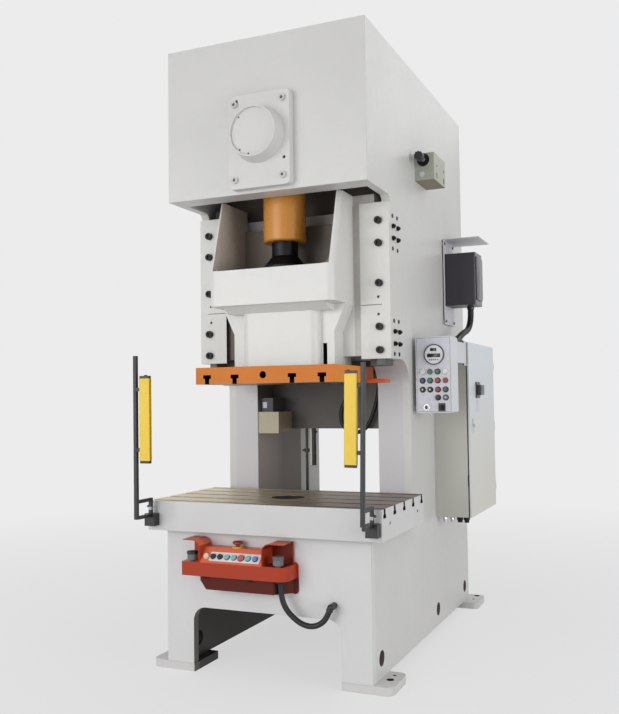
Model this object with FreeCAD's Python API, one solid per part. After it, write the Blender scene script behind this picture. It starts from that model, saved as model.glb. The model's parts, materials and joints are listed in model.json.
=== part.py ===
import FreeCAD, Part
import math
import os

# Single-crank C-frame stamping press, nominal force about 2000 kN.
# Millimetres. +X is the operator's right, the operator stands on the -Y side, +Z is up.
# The pieces are drawn round the slide's axis (X = 0, Y = 0) with the floor at Z = 0, and are
# moved along Y at the end, so that the origin is on the floor amid the four anchor holes.

# ---- driving dimensions -----------------------------------------------------------------
SEAT_GAP = 0.3              # working gap between bodies that slide past each other
SHEET_T = 3.0               # small covers and doors
RUN_FIT = 0.05              # radial running fit of a shaft in its bush

# welded frame
FRAME_HALF_W = 616.0        # outer face of a side plate
SIDE_T = 50.0               # side plate
INNER_X = FRAME_HALF_W - SIDE_T
CROWN_FRONT_Y = -284.0      # front face of the crown
CROWN_PLATE_T = 40.0
CROWN_BOTTOM_Z = 2675.0
TOP_PLATE_T = 35.0
SILL_T = 30.0               # flange along the crown's lower edge
SILL_DEPTH = 100.0
REAR_Y = 1810.0
BASE_FRONT_Y = -314.0
BASE_PLATE_T = 50.0
BED_Z = 787.0               # top of the base, under the bolster
BED_T = 60.0
BED_HOLE_GAP = 40.0         # the bed's hole is wider than the bolster's by this, in radius
THROAT_Y = 433.0            # front face of the columns
THROAT_R = 180.0
COLUMN_W = 155.0            # from a side plate to the inner face of the column
COLUMN_IN_X = INNER_X - COLUMN_W
COLUMN_T = 30.0
COLUMN_REAR_Y = 1110.0
COLUMN_TOP_Z = 1770.0
BEAM_Y = 645.0              # cross beam behind the slide
BEAM_T = 50.0
BEAM_BOTTOM_Z = 1324.0
SHELF_Z = 1455.0            # underside of the motor shelf on the cross beam
SHELF_T = 30.0
SHELF_REAR_Y = 1430.0
WAY_PLATE_T = 40.0
WAY_EDGE_Y = 98.0           # front edge of the side plates at the slide ways
WAY_BOTTOM_Z = 1741.0
WAY_TOP_Z = 2635.0
FOOT_T = 45.0
FOOT_REACH = 102.0          # a foot plate beyond the side plate
FOOT_OUT_X = FRAME_HALF_W + FOOT_REACH
FOOT_L = 260.0
FOOT_CORNER_R = 40.0
ANCHOR_OUT = 48.0           # from the side plate's face to the anchor holes
ANCHOR_HALF_X = FRAME_HALF_W + ANCHOR_OUT
ANCHOR_SPACING_Y = 2048.0
ANCHOR_MID_Y = 839.0        # from the slide's axis to the middle of the anchor holes
FOOT_FRONT_Y = -311.0       # front edges of the two pairs of foot plates
FOOT_REAR_Y = 1639.0
ANCHOR_R = 21.0
JACK_R = 10.0
JACK_BEHIND_FRONT = 76.0    # from a front anchor hole back to its jack hole
JACK_BEFORE_REAR = 113.0    # from a rear anchor hole forward to its jack hole
LEG_BAY = 70.0              # from a side plate to the inner face of its leg plate
LEG_PLATE_T = 30.0
LEG_IN_X = INNER_X - LEG_BAY
ARCH_IN = 50.0              # the arches are narrower than the space between the legs
ARCH_HALF_W = LEG_IN_X - ARCH_IN
FOOT_LIP = 5.0              # a foot plate inside the arch's edge
FOOT_IN_X = ARCH_HALF_W - FOOT_LIP
ARCH_TOP_Z = 360.0
ARCH_R = 75.0
LIFT_HOLE_R = 42.0
LIFT_HOLE_Y = (-172.0, 967.0, 1692.0)
LIFT_HOLE_Z = 147.0
REAR_PLATE_T = 40.0
REAR_COVER_T = 4.0
REAR_COVER_BOTTOM_Z = 1400.0

# bolster
BOLSTER_HALF_X = 700.0
BOLSTER_HALF_Y = 382.0
BOLSTER_T = 165.0
BOLSTER_HOLE_R = 98.0
BOLSTER_SLOTS = 5
BOLSTER_SLOT_PITCH = 168.0
BOLSTER_SLOT_NECK = 28.0
BOLSTER_SLOT_HEAD = 46.0
BOLSTER_SLOT_HEAD_H = 20.0
BOLSTER_SLOT_DEPTH = 48.0
BOLSTER_EYE_R = 9.0
BOLSTER_EYE_Y = 250.0
BOLSTER_EYE_DEPTH = 60.0

# crank and connecting rod
CRANK_Z = 2985.0
CRANK_THROW = 90.0          # half the stroke
JOURNAL_R = 110.0
PIN_R = 95.0
PIN_HALF_L = 108.0
WEB_T = 68.0
WEB_R = 205.0
BUSH_WALL = 15.0
ROD_EYE_R = 165.0
ROD_HALF_T = 105.0
ROD_BARREL_R = 125.0
ROD_BARREL_CHAMFER = 8.0
ROD_EYE_DROP = 310.0        # from the crank pin at the top to the barrel's upper end
ROD_BARREL_TOP_Z = CRANK_Z + CRANK_THROW - ROD_EYE_DROP
ROD_BARREL_L = 334.0
ROD_BARREL_BOTTOM_Z = ROD_BARREL_TOP_Z - ROD_BARREL_L
SCREW_R = 77.0
SCREW_GRIP_L = 209.0        # length of the screw inside the barrel
SCREW_TOP_Z = ROD_BARREL_BOTTOM_Z + SCREW_GRIP_L
SCREW_FLARE_R = 126.0
SCREW_FLARE_Z = 2290.0
SCREW_FLARE_H = 60.0
SCREW_COLLAR_H = 14.0
BALL_R = 85.0
BALL_Z = 2215.0

# drive at the back of the frame
GEAR_MODULE = 12.0
GEAR_TEETH = 80
PINION_TEETH = 14
PRESSURE_ANGLE = 25.0
BACKLASH = 1.2
GEAR_Y = 560.0
GEAR_W = 120.0
GEAR_WEB_W = 50.0
GEAR_RIM = 65.0             # from the pitch circle to the inside of the rim
GEAR_HEADROOM = 53.0        # between the bull gear's teeth and the crown's top plate
GEAR_TIP_R = GEAR_MODULE * (GEAR_TEETH + 2) / 2
CROWN_TOP_Z = CRANK_Z + GEAR_TIP_R + GEAR_HEADROOM + TOP_PLATE_T
GEAR_HUB_R = 160.0
GEAR_WINDOWS = 6
GEAR_WINDOW_R = 55.0
WALL_A_Y = 330.0            # bearing wall in front of the gears
WALL_B_Y = 760.0            # bearing wall behind the gears
WALL_T = 50.0
WALL_BOTTOM_Z = 2190.0
PINION_SHAFT_R = 60.0
FLYWHEEL_R = 470.0
FLYWHEEL_W = 150.0
FLYWHEEL_Y = 930.0
FLYWHEEL_RIM = 90.0
FLYWHEEL_WEB_W = 50.0
FLYWHEEL_HUB_R = 150.0
CLUTCH_R = 210.0
CLUTCH_W = 190.0
CLUTCH_END_T = 15.0
AIR_INLET_R = 28.0
AIR_INLET_L = 60.0
MOTOR_Z = 1640.0
MOTOR_R = 150.0
MOTOR_L = 330.0
MOTOR_FOOT_X = 140.0
MOTOR_FOOT_T = 18.0
MOTOR_FOOT_INSET = 30.0     # foot and saddle from the housing's ends
MOTOR_SADDLE_X = 98.0
MOTOR_SADDLE_INSET = 40.0
TERMINAL_SINK = 20.0        # terminal box into the housing, and out of it
TERMINAL_OUT = 55.0
TERMINAL_Y = (90.0, 220.0)
TERMINAL_HALF_H = 60.0
MOTOR_SHAFT_R = 24.0
MOTOR_BORE_L = 80.0
MOTOR_PULLEY_GAP = 20.0
MOTOR_HOOD_STEP = 10.0
MOTOR_HOOD_L = 40.0
PULLEY_R = 88.0
PULLEY_FLANGE_T = 6.0
BELT_COUNT = 4
BELT_PITCH = 26.0
BELT_W = 18.0
BELT_H = 13.0
BELT_GAP = 0.5

# slide
WAY_BAR_W = 46.0            # way between the slide's wing and the side plate
WING_HALF_X = INNER_X - WAY_BAR_W
WING_REACH = 130.0          # wing beyond the slide's box
SLIDE_HALF_X = WING_HALF_X - WING_REACH
SLIDE_FRONT_Y = -222.0
SLIDE_REAR_Y = 222.0
SLIDE_WALL = 28.0
SLIDE_CORNER_R = 40.0
SLIDE_BOX_BOTTOM_Z = 2056.0
SLIDE_BOX_TOP_Z = 2261.0
SLIDE_EAR_TOP_Z = 2690.0
SLIDE_EAR_TOP_Y = -90.0
SLIDE_WINDOW_R = 45.0       # lower corners of the window between the ears
SLIDE_BACK_DROP = 130.0     # back wall below the ears' top
SLIDE_FLOOR_Z = 2080.0
SLIDE_FRONT_WALL = 45.0
LOWER_STEP = 70.0           # the lower body is narrower than the box on each side
LOWER_HALF_X = SLIDE_HALF_X - LOWER_STEP
LOWER_FRONT_Y = -40.0
LOWER_SLOPE_H = 156.0       # slope from the box's side down to the lower body
LOWER_RECESS_W = 78.0       # recessed strip beside the front panel
LOWER_PANEL_HALF_X = LOWER_HALF_X - LOWER_RECESS_W
LOWER_PANEL_Y = -105.0
LOWER_PANEL_R = 50.0
LOWER_PANEL_GAP = 6.0       # between the front panel and the slide plate
UNDER_SLOPE_H = 38.0        # slope from the box's front down to the panel
WING_BOTTOM_Z = 1760.0
KNOCKOUT_IN = 58.0          # from the lower body's side to the middle of the knockout slot
KNOCKOUT_X = LOWER_HALF_X - KNOCKOUT_IN
KNOCKOUT_W = 24.0
KNOCKOUT_H = 122.0
KNOCKOUT_DEPTH = 60.0
KNOCKOUT_LIFT = 9.0
SLIDE_PLATE_LIP = 35.0      # slide plate beyond the slide's box
SLIDE_PLATE_HALF_X = SLIDE_HALF_X + SLIDE_PLATE_LIP
SLIDE_PLATE_HALF_Y = 310.0
SLIDE_PLATE_TOP_Z = 1702.0
SLIDE_PLATE_T = 95.0
SLIDE_SLOT_IN = 38.0        # from the slide's side to the middle of the outer T-slots
SLIDE_SLOT_OUT_X = SLIDE_HALF_X - SLIDE_SLOT_IN
SLIDE_SLOT_X = (-SLIDE_SLOT_OUT_X, -SLIDE_SLOT_OUT_X / 2, SLIDE_SLOT_OUT_X / 2, SLIDE_SLOT_OUT_X)
SLIDE_SLOT_NECK = 28.0
SLIDE_SLOT_HEAD = 50.0
SLIDE_SLOT_HEAD_H = 21.0
SLIDE_SLOT_DEPTH = 52.0
SLIDE_HOLE_R = 20.0
SLIDE_TAB_GAP = 35.0        # between a tab of the slide plate and the side plate
SLIDE_TAB_HALF_X = INNER_X - SLIDE_TAB_GAP
SLIDE_TAB_Y0 = 200.0
SLIDE_TAB_T = 24.0
SEAT_TOP_Z = 2116.0
SEAT_INSET = 30.0           # between the ball's seat and the slide's back wall
SEAT_DISH_R = 900.0
SEAT_DISH_DEPTH = 12.0

# slide ways
GIB_W = 179.0
GIB_IN_X = FRAME_HALF_W - GIB_W
GIB_T = 23.0
GIB_SLIT_Z = 2048.0
GIB_SLIT_H = 3.0
GIB_SLIT_STOP = 51.0        # uncut width at the slit's end
GIB_SLIT_END_X = FRAME_HALF_W - GIB_SLIT_STOP
GIB_SCREW_IN = 64.0         # from the frame's side face to the screws
GIB_SCREW_X = FRAME_HALF_W - GIB_SCREW_IN
GIB_SCREW_Z = (2530.0, 2400.0, 2171.0, 1922.0, 1790.0)
GIB_HOLE_Z = (2093.0, 1994.0)
GIB_HOLE_R = 8.0
WAY_REAR_T = 40.0
REAR_WAY_W = 126.0
REAR_WAY_IN_X = INNER_X - REAR_WAY_W
WAY_BAR_BOTTOM_Z = 1704.0
SCREW_HEAD_R = 21.0
SCREW_HEAD_H = 20.0
SIDE_SCREW_Y = (136.0, 223.0)
SIDE_NUT_Z = (2501.0, 2431.0, 1896.0, 1826.0)
SIDE_PLUG_Z = (2561.0, 2371.0, 1957.0, 1768.0)
SIDE_NUT_R = 15.0
SIDE_NUT_H = 20.0
SIDE_PLUG_R = 12.0
SIDE_PLUG_H = 3.0

# cover on the crank's front bearing
COVER_HALF_X = 190.0
COVER_BOTTOM_Z = 2692.0
COVER_TOP_Z = 3224.0
COVER_T = 50.0
COVER_CORNER_R = 30.0
COVER_SCREW_X = 148.0
COVER_SCREW_Z = (2744.0, 3172.0)
COVER_SCREW_R = 19.0
COVER_SCREW_H = 14.0
BOSS_R = 142.0
BOSS_FLARE = 16.0           # the boss is wider at its foot than at its face
BOSS_H = 85.0
BOSS_RIM = 9.0
BOSS_RECESS = 15.0
BOSS_SKIN = 5.0             # floor between the recess and the hollow inside
BOSS_HOLE_R = 5.0
BOSS_HOLE_CIRCLE_R = 123.0
BOSS_HOLE_ANGLES = (134.0, 229.0, 257.0)
BOSS_HOLE_DEPTH = 4.0
COVER_PLUGS = ((155.0, 2842.0), (-136.0, 3190.0))
COVER_PLUG_DEPTH = 11.0
COVER_PLUG_R = 9.0

# air valve unit on the right side
VALVE_W = 124.0
VALVE_Y0 = 610.0
VALVE_L = 266.0
VALVE_Z0 = 2870.0
VALVE_H = 170.0
VALVE_KNOB_OUT = 60.0       # from the frame's side face
VALVE_KNOB_X = FRAME_HALF_W + VALVE_KNOB_OUT
VALVE_KNOB_Z = 2993.0
VALVE_LENS_OUT = 46.0
VALVE_LENS_X = FRAME_HALF_W + VALVE_LENS_OUT
VALVE_LENS_Z = 2908.0
VALVE_LENS_R = 18.0
VALVE_SCREW_R = 6.0
VALVE_SEAT_R = 39.0
VALVE_SEAT_H = 16.0
VALVE_STEM_R = 6.0
VALVE_NECK_R = 13.0
VALVE_NECK_L = 66.0
VALVE_GRIP_R = 28.0
VALVE_GRIP_L = 44.0
KNOB_FLUTES = 10

# cabinet on the right side
CABINET_STANDOFF = 10.0
CABINET_DEPTH = 214.0
CABINET_X1 = FRAME_HALF_W + CABINET_STANDOFF + CABINET_DEPTH
CABINET_Y0 = 945.0
CABINET_Y1 = 1720.0
CABINET_Z0 = 745.0
CABINET_Z1 = 1870.0
CABINET_WALL = 4.0
SPACER_R = 14.0
DOOR_T = 10.0
DOOR_GAP = 2.0
HINGE_R = 7.0
HINGE_PIN_R = 3.5
HINGE_L = 60.0
HINGE_Z = (880.0, 1307.0, 1735.0)
ISOLATOR_Y = 1180.0
ISOLATOR_Z = 1562.0
ISOLATOR_PLATE = 106.0
ISOLATOR_PLATE_T = 8.0
ISOLATOR_DISC_R = 36.0
ISOLATOR_DISC_H = 18.0
ISOLATOR_GRIP_W = 16.0
ISOLATOR_GRIP_H = 40.0
ISOLATOR_STEM_R = 5.0
LOCK_Y = 1035.0
LOCK_Z = 1331.0
LOCK_R = 11.0
LOCK_H = 14.0
GEAR_PLATE_EDGE_Y = 50.0    # cabinet's wall to the edge of the mounting plate
GEAR_PLATE_EDGE_Z = 60.0
GEAR_PLATE_GAP = 20.0
GEAR_PLATE_T = 4.0
GEAR_STUD_R = 8.0
GEAR_STUD_EDGE = 30.0
CONTACTORS = 5
CONTACTOR_PITCH = 85.0
CONTACTOR_W = 70.0
CONTACTOR_H = 90.0
CONTACTOR_EDGE = 40.0
UPPER_ROW_DROP = 90.0       # from the plate's top edge to the rows' upper sides
LOWER_ROW_DROP = 330.0
UPPER_ROW_D = 70.0
LOWER_ROW_D = 85.0
TRANSFORMER = (60.0, 180.0, 150.0, 110.0)   # edge, width, height, depth
DRIVE_UNIT = (60.0, 240.0, 240.0, 95.0)
RAIL_UP = 400.0
RAIL_H = 45.0
RAIL_D = 40.0

# operator panel on its swinging arm
PANEL_OUT = 24.0            # from the frame's side face to the panel
PANEL_W = 220.0
PANEL_X0 = FRAME_HALF_W + PANEL_OUT
PANEL_X1 = PANEL_X0 + PANEL_W
PANEL_Y0 = 470.0
PANEL_Y1 = 620.0
PANEL_Z0 = 1425.0
PANEL_Z1 = 1882.0
PANEL_WALL = 4.0
PANEL_CORNER_R = 14.0
PANEL_BUTTON_H = 9.0
PANEL_TRAVEL = 4.0
PANEL_STEM_R = 4.0
ARM_W = 50.0
ARM_LAP = 45.0              # the arm's inner side inside the cabinet's outer face
ARM_X0 = CABINET_X1 - ARM_LAP
ARM_X1 = ARM_X0 + ARM_W
ARM_Z0 = 1730.0
ARM_Z1 = 1860.0
ARM_WALL = 5.0
ARM_PIN_Y = 900.0
ARM_PIN_R = 12.0
ARM_HUB_R = 28.0
ARM_LUG_T = 12.0
PANEL_COLS = (PANEL_X0 + 42.0, PANEL_X0 + 88.0, PANEL_X0 + 135.0, PANEL_X0 + 182.0)
PANEL_ROWS = (1671.0, 1618.0, 1564.0, 1516.0)
PANEL_BUTTON_R = 13.0
GAUGE_X = PANEL_X0 + 115.0
GAUGE_Z = 1774.0
GAUGE_R = 62.0
GAUGE_H = 10.0
GAUGE_RIM = 5.0
GAUGE_RECESS = 4.0
PANEL_KNOB_X = PANEL_X0 + 65.0
PANEL_KEY_X = PANEL_X0 + 157.0
PANEL_LOW_Z = 1458.0
PANEL_BEZEL = 4.0           # bezels and seats are wider than the buttons by this
PANEL_BEZEL_H = 4.0

# speed inverter and its roofed bracket
BRACKET_STANDOFF = 8.0
BRACKET_T = 6.0
INVERTER_X0 = FRAME_HALF_W + BRACKET_STANDOFF + BRACKET_T
INVERTER_DEPTH = 211.0
INVERTER_X1 = INVERTER_X0 + INVERTER_DEPTH
INVERTER_Y0 = 1250.0
INVERTER_Y1 = 1460.0
INVERTER_Z0 = 2145.0
INVERTER_Z1 = 2503.0
INVERTER_CORNER_R = 12.0
BRACKET_Y0 = 1236.0
BRACKET_Y1 = 1500.0
BRACKET_Z0 = 2018.0
BRACKET_FOOT_R = 12.0
BRACKET_SCREW_R = 9.0
BRACKET_SCREW_H = 6.0
BRACKET_SCREW_EDGE = 22.0
ROOF_Z = 2606.0
ROOF_REACH = 256.0
ROOF_X1 = FRAME_HALF_W + ROOF_REACH
ROOF_Y1 = 1560.0
INVERTER_VENTS = 7
INVERTER_VENT_PITCH = 20.0

# two-hand console on the base
CONSOLE_X = -124.0
CONSOLE_HALF_W = 317.0
CONSOLE_FRONT_Y = -455.0
CONSOLE_BACK_Y = -322.0
CONSOLE_Z0 = 564.0
CONSOLE_Z1 = 638.0
CONSOLE_CORNER_R = 58.0
CONSOLE_LEFT_R = 14.0
CONSOLE_MID_X = -138.0
CONSOLE_MID_HALF_W = 192.0
CONSOLE_MID_Z = 712.0
CONSOLE_SLOPE_Y = -385.0
CONSOLE_WALL = 4.0
CONSOLE_LIP = 4.0           # ledge in front of the raised middle
GUARD_TOP_Z = 758.0
GUARD_R = 45.0
GUARD_FRONT_Y = -452.0
GUARD_TIP_X = (-431.0, 180.0)
PALM_X = (-388.0, 134.0)
PALM_Y = -420.0
PALM_R = 31.0
PALM_STEM_R = 14.0
PALM_BODY_H = 34.0
PALM_CAP_H = 12.0
PALM_TRAVEL = 5.0
TRAY_Z0 = 484.0
TRAY_FRONT_Y = -405.0
TRAY_X = (-312.0, 95.0)     # ends of the tray's lower front edge
TRAY_RIGHT_SKEW = 83.0
TRAY_LEFT_SKEW = 36.0
STRAP_X = 185.0
STRAP_W = 40.0
STRAP_Z = (500.0, 628.0)
CONSOLE_BUTTONS = 8
CONSOLE_BUTTON_PITCH = 42.5
CONSOLE_BUTTON_R = 14.0
CONSOLE_BUTTON_H = 12.0
CONSOLE_BUTTON_X0 = -296.0
CONSOLE_BUTTON_UP = 0.4     # share of the slope below the row of buttons
STOP_R = 28.0
STOP_Y = -358.0
STOP_BASE_R = 31.0
STOP_STEM_R = 10.0
TRAY_LEFT_RISE = 50.0
TRAY_KNOB_X = (-313.0, -37.0)
TRAY_KNOB_R = 16.0
TRAY_KNOB_H = 14.0

# light curtain
POST_X = 660.0
POST_Y = -556.0
POST_W = 22.0
POST_CORNER_R = 4.0
POST_LEAN = (0.3, 1.1)      # degrees outward at the top, left and right
POST_Z = ((868.0, 1768.0), (888.0, 1697.0))
BAR_X = 597.0
BAR_W = 66.0
BAR_D = 28.0
BAR_Z0 = 1190.0
BAR_Z1 = 1642.0
BAR_CAP = 14.0
BAR_CAP_INSET = 3.0
BAR_CORNER_R = 5.0
BAR_GROOVE_LIP = 7.0        # from the bar's edges to its window groove
BAR_GROOVE_END = 20.0
BAR_GROOVE_DEPTH = 4.0
CLAMP_W = 66.0
CLAMP_D = 50.0
CLAMP_Z0 = 815.0
CLAMP_Z1 = 884.0
ARM_ROD = 18.0
RISER_BOLT_R = 7.0
ARM_TOP_Z = 972.0
ARM_LOW_Z = 884.0
TIE_T = 10.0
TIE_IN = 60.0               # ties from the ends of the light bar

# fittings seen through the throat
THROAT_BOX_W = 146.0
THROAT_BOX_Y0 = 440.0
THROAT_BOX_Z0 = 1300.0
THROAT_BOX_Z1 = 1437.0
SENSOR_W = 92.0
SENSOR_Z1 = 1527.0
SENSOR_SETBACK = 30.0
GUIDE_ROD_X = -170.0
GUIDE_ROD_R = 9.0
ROD_COLLAR_Z = 1168.0
ROD_COLLAR_H = 24.0
ROD_BAR_LEFT = 32.0         # cross bar on the collar, to each side of the rod
ROD_BAR_RIGHT = 15.0
ROD_BAR_T = 12.0
ROD_BAR_H = 14.0
HANGER_X = -127.0
HANGER_R = 22.0
HANGER_SCREW_R = 6.0
HANGER_SCREW_OUT = 9.0
HANGER_BOTTOM_Z = 1083.0
HANGER_SCREW_DROP = 22.0
HOSE_BRACKET_X = (150.0, 380.0)
HOSE_BRACKET_Y0 = 580.0
HOSE_BRACKET_H = 30.0
HOSE_GLAND_R = 18.0
HOSE_GLAND_H = 18.0

# free cords
CABLE_D = 30.0
CABLE_ROUTE = (
    (134.0, -392.0, 546.0),
    (134.0, -392.0, 482.0),
    (163.0, -389.0, 408.0),
    (226.0, -384.0, 353.0),
    (277.0, -380.0, 333.0),
    (318.0, -376.0, 334.0),
    (355.0, -372.0, 350.0),
    (383.5, -369.0, 379.5),
    (399.0, -367.0, 416.0),
)
OUTLET_NUT_H = 4.0          # straight part of the outlet below its round elbow
OUTLET_R = 18.0
CONDUIT_D = 42.0
CONDUIT_ROUTE = (
    (770.0, 1400.0, 2127.0),
    (770.0, 1400.0, 2083.0),
    (769.0, 1386.5, 2041.0),
    (767.0, 1360.5, 2005.5),
    (764.5, 1325.0, 1980.0),
    (762.0, 1283.0, 1965.0),
    (758.5, 1226.0, 1951.0),
    (754.5, 1162.0, 1930.5),
    (751.0, 1102.0, 1905.0),
)
HOSE_D = 26.0
HOSE_ROUTE = (
    (170.0, 600.0, 1621.0),
    (170.0, 600.0, 1580.0),
    (150.0, 598.0, 1532.0),
    (122.0, 596.0, 1484.0),
    (103.0, 595.0, 1434.0),
    (102.0, 596.0, 1378.0),
    (126.0, 598.0, 1329.0),
    (172.0, 600.0, 1301.0),
    (226.0, 602.0, 1302.0),
    (273.0, 604.0, 1331.0),
    (303.0, 604.0, 1383.0),
    (328.0, 603.0, 1448.0),
    (347.0, 602.0, 1515.0),
    (358.0, 600.0, 1575.0),
    (358.0, 600.0, 1621.0),
)
GLAND_R = 25.0

X = FreeCAD.Vector(1, 0, 0)
Y = FreeCAD.Vector(0, 1, 0)
Z = FreeCAD.Vector(0, 0, 1)
ORIGIN = FreeCAD.Vector(0, 0, 0)
OUT = "parts"


# ---- shape helpers ----------------------------------------------------------------------
def vec(x, y, z):
    return FreeCAD.Vector(x, y, z)


def block(x0, x1, y0, y1, z0, z1):
    """Box between two corners."""
    low = vec(min(x0, x1), min(y0, y1), min(z0, z1))
    return Part.makeBox(abs(x1 - x0), abs(y1 - y0), abs(z1 - z0), low)


def rod(x, y, z, radius, length, axis):
    """Cylinder that starts at a point and runs along an axis."""
    return Part.makeCylinder(radius, length, vec(x, y, z), axis)


def ring(x, y, z, outer, inner, length, axis):
    return rod(x, y, z, outer, length, axis).cut(rod(x, y, z, inner, length, axis))


def fuse(shapes):
    whole = shapes[0].fuse(shapes[1:]) if len(shapes) > 1 else shapes[0]
    return whole.removeSplitter()


def cut(shape, tools):
    return shape.cut(tools) if tools else shape


def group(shapes):
    """Separate solids that share one file."""
    return Part.makeCompound(shapes)


def mirrored(shape):
    return shape.mirror(ORIGIN, X)


def prism(points, direction):
    """Straight prism over a closed polygon."""
    wire = Part.makePolygon(points + [points[0]])
    return Part.Face(wire).extrude(direction)


def round_edges(shape, radius, keep):
    """Fillet the edges that the test function picks."""
    edges = [edge for edge in shape.Edges if keep(edge)]
    return shape.makeFillet(radius, edges) if edges else shape


def is_upright(edge):
    a = edge.Vertexes[0].Point
    b = edge.Vertexes[-1].Point
    return abs(a.x - b.x) < 0.01 and abs(a.y - b.y) < 0.01 and abs(a.z - b.z) > 0.01


def runs_along_y(edge):
    a = edge.Vertexes[0].Point
    b = edge.Vertexes[-1].Point
    return abs(a.x - b.x) < 0.01 and abs(a.z - b.z) < 0.01 and abs(a.y - b.y) > 0.01


def rounded_block(x0, x1, y0, y1, z0, z1, radius):
    """Box with its four upright edges rounded."""
    return round_edges(block(x0, x1, y0, y1, z0, z1), radius, is_upright)


def rounded_plate(x0, x1, y0, y1, z0, z1, radius):
    """Box with the four edges along Y rounded."""
    return round_edges(block(x0, x1, y0, y1, z0, z1), radius, runs_along_y)


def tee_slot_y(x, z_open, length_y, half_y, neck, head, head_h, depth):
    """Tool for a T-slot along Y that opens downwards at z_open."""
    stem = block(x - neck / 2, x + neck / 2, -half_y, length_y - half_y, z_open, z_open + depth)
    top = block(x - head / 2, x + head / 2, -half_y, length_y - half_y,
                z_open + depth - head_h, z_open + depth)
    return stem.fuse(top)


def tee_slot_x(y, z_open, half_x, neck, head, head_h, depth):
    """Tool for a T-slot along X that opens upwards at z_open."""
    stem = block(-half_x, half_x, y - neck / 2, y + neck / 2, z_open - depth, z_open)
    bottom = block(-half_x, half_x, y - head / 2, y + head / 2,
                   z_open - depth, z_open - depth + head_h)
    return stem.fuse(bottom)


def hex_head(x, y, z, across_r, height, axis):
    """Hexagonal head or nut, with its corners at the given radius."""
    side = Z if abs(axis.z) < 0.5 else X
    other = axis.cross(side)
    base = vec(x, y, z)
    points = []
    for i in range(6):
        angle = math.radians(60 * i + 30)
        corner = side * (across_r * math.cos(angle)) + other * (across_r * math.sin(angle))
        points.append(base + corner)
    return prism(points, axis * height)


def tube_along(route, diameter, name):
    """Round tube of straight runs joined by tangent arcs. Prints the arcs' radii."""
    pts = [vec(*p) for p in route]
    runs = [pts[i + 1] - pts[i] for i in range(len(pts) - 1)]
    edges = []
    start = pts[0]
    radii = []
    for i in range(1, len(pts) - 1):
        d0 = vec(*runs[i - 1])
        d1 = vec(*runs[i])
        short = min(d0.Length, d1.Length)
        d0.normalize()
        d1.normalize()
        turn = d0.getAngle(d1)
        back = 0.45 * short
        radius = back / math.tan(turn / 2)
        radii.append(radius)
        a = pts[i] - d0 * back
        b = pts[i] + d1 * back
        normal_in = (d1 - d0)
        normal_in.normalize()
        centre = pts[i] + normal_in * (radius / math.cos(turn / 2))
        mid = centre - normal_in * radius
        edges.append(Part.makeLine(start, a))
        edges.append(Part.Arc(a, mid, b).toShape())
        start = b
    edges.append(Part.makeLine(start, pts[-1]))
    spine = Part.Wire(edges)
    first = runs[0]
    circle = Part.Wire(Part.makeCircle(diameter / 2, pts[0], first))
    tube = spine.makePipeShell([circle], True, False)
    expected = math.pi * (diameter / 2) ** 2 * spine.Length
    print(name, "length", round(spine.Length, 1), "radii", [round(r) for r in radii],
          "volume ratio", round(tube.Volume / expected, 4))
    return tube


# ---- frame ------------------------------------------------------------------------------
ROOT_HALF = math.sqrt(0.5)


def throat_edges(inset):
    """Throat outline in the plane X = 0: up the column, round the corner, forward."""
    y = THROAT_Y + inset
    z = WAY_BOTTOM_Z + inset
    r = THROAT_R
    middle = vec(0, y - r + r * ROOT_HALF, z - r + r * ROOT_HALF)
    return [
        Part.makeLine(vec(0, y, BED_Z), vec(0, y, z - r)),
        Part.Arc(vec(0, y, z - r), middle, vec(0, y - r, z)).toShape(),
    ]


def side_plate():
    """C-shaped side plate with its transport holes, welded from three plates, one above the other."""
    line = Part.makeLine
    front = BASE_FRONT_Y + BASE_PLATE_T
    crown = CROWN_FRONT_Y + CROWN_PLATE_T
    top = CROWN_TOP_Z - TOP_PLATE_T
    fillet = CROWN_BOTTOM_Z - WAY_TOP_Z
    middle = vec(0, WAY_EDGE_Y - fillet + fillet * ROOT_HALF, WAY_TOP_Z + fillet * ROOT_HALF)
    edges = [line(vec(0, front, FOOT_T), vec(0, front, BED_Z))]
    edges.append(line(vec(0, front, BED_Z), vec(0, THROAT_Y, BED_Z)))
    edges += throat_edges(0.0)
    edges.append(line(vec(0, THROAT_Y - THROAT_R, WAY_BOTTOM_Z), vec(0, WAY_EDGE_Y, WAY_BOTTOM_Z)))
    edges.append(line(vec(0, WAY_EDGE_Y, WAY_BOTTOM_Z), vec(0, WAY_EDGE_Y, WAY_TOP_Z)))
    edges.append(Part.Arc(vec(0, WAY_EDGE_Y, WAY_TOP_Z), middle,
                          vec(0, WAY_EDGE_Y - fillet, CROWN_BOTTOM_Z)).toShape())
    edges.append(line(vec(0, WAY_EDGE_Y - fillet, CROWN_BOTTOM_Z), vec(0, crown, CROWN_BOTTOM_Z)))
    edges.append(line(vec(0, crown, CROWN_BOTTOM_Z), vec(0, crown, top)))
    edges.append(line(vec(0, crown, top), vec(0, REAR_Y, top)))
    edges.append(line(vec(0, REAR_Y, top), vec(0, REAR_Y, FOOT_T)))
    edges.append(line(vec(0, REAR_Y, FOOT_T), vec(0, front, FOOT_T)))
    face = Part.Face(Part.Wire(edges))
    face.translate(vec(INNER_X, 0, 0))
    plate = face.extrude(vec(SIDE_T, 0, 0))
    plate = cut(plate, [rod(INNER_X - 1, y, LIFT_HOLE_Z, LIFT_HOLE_R, SIDE_T + 2, X) for y in LIFT_HOLE_Y])
    seams = (FOOT_T, BED_Z, CROWN_BOTTOM_Z, top)
    return group([plate.common(block(INNER_X, FRAME_HALF_W, min(front, crown), REAR_Y, low, high))
                  for low, high in zip(seams, seams[1:])])


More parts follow.
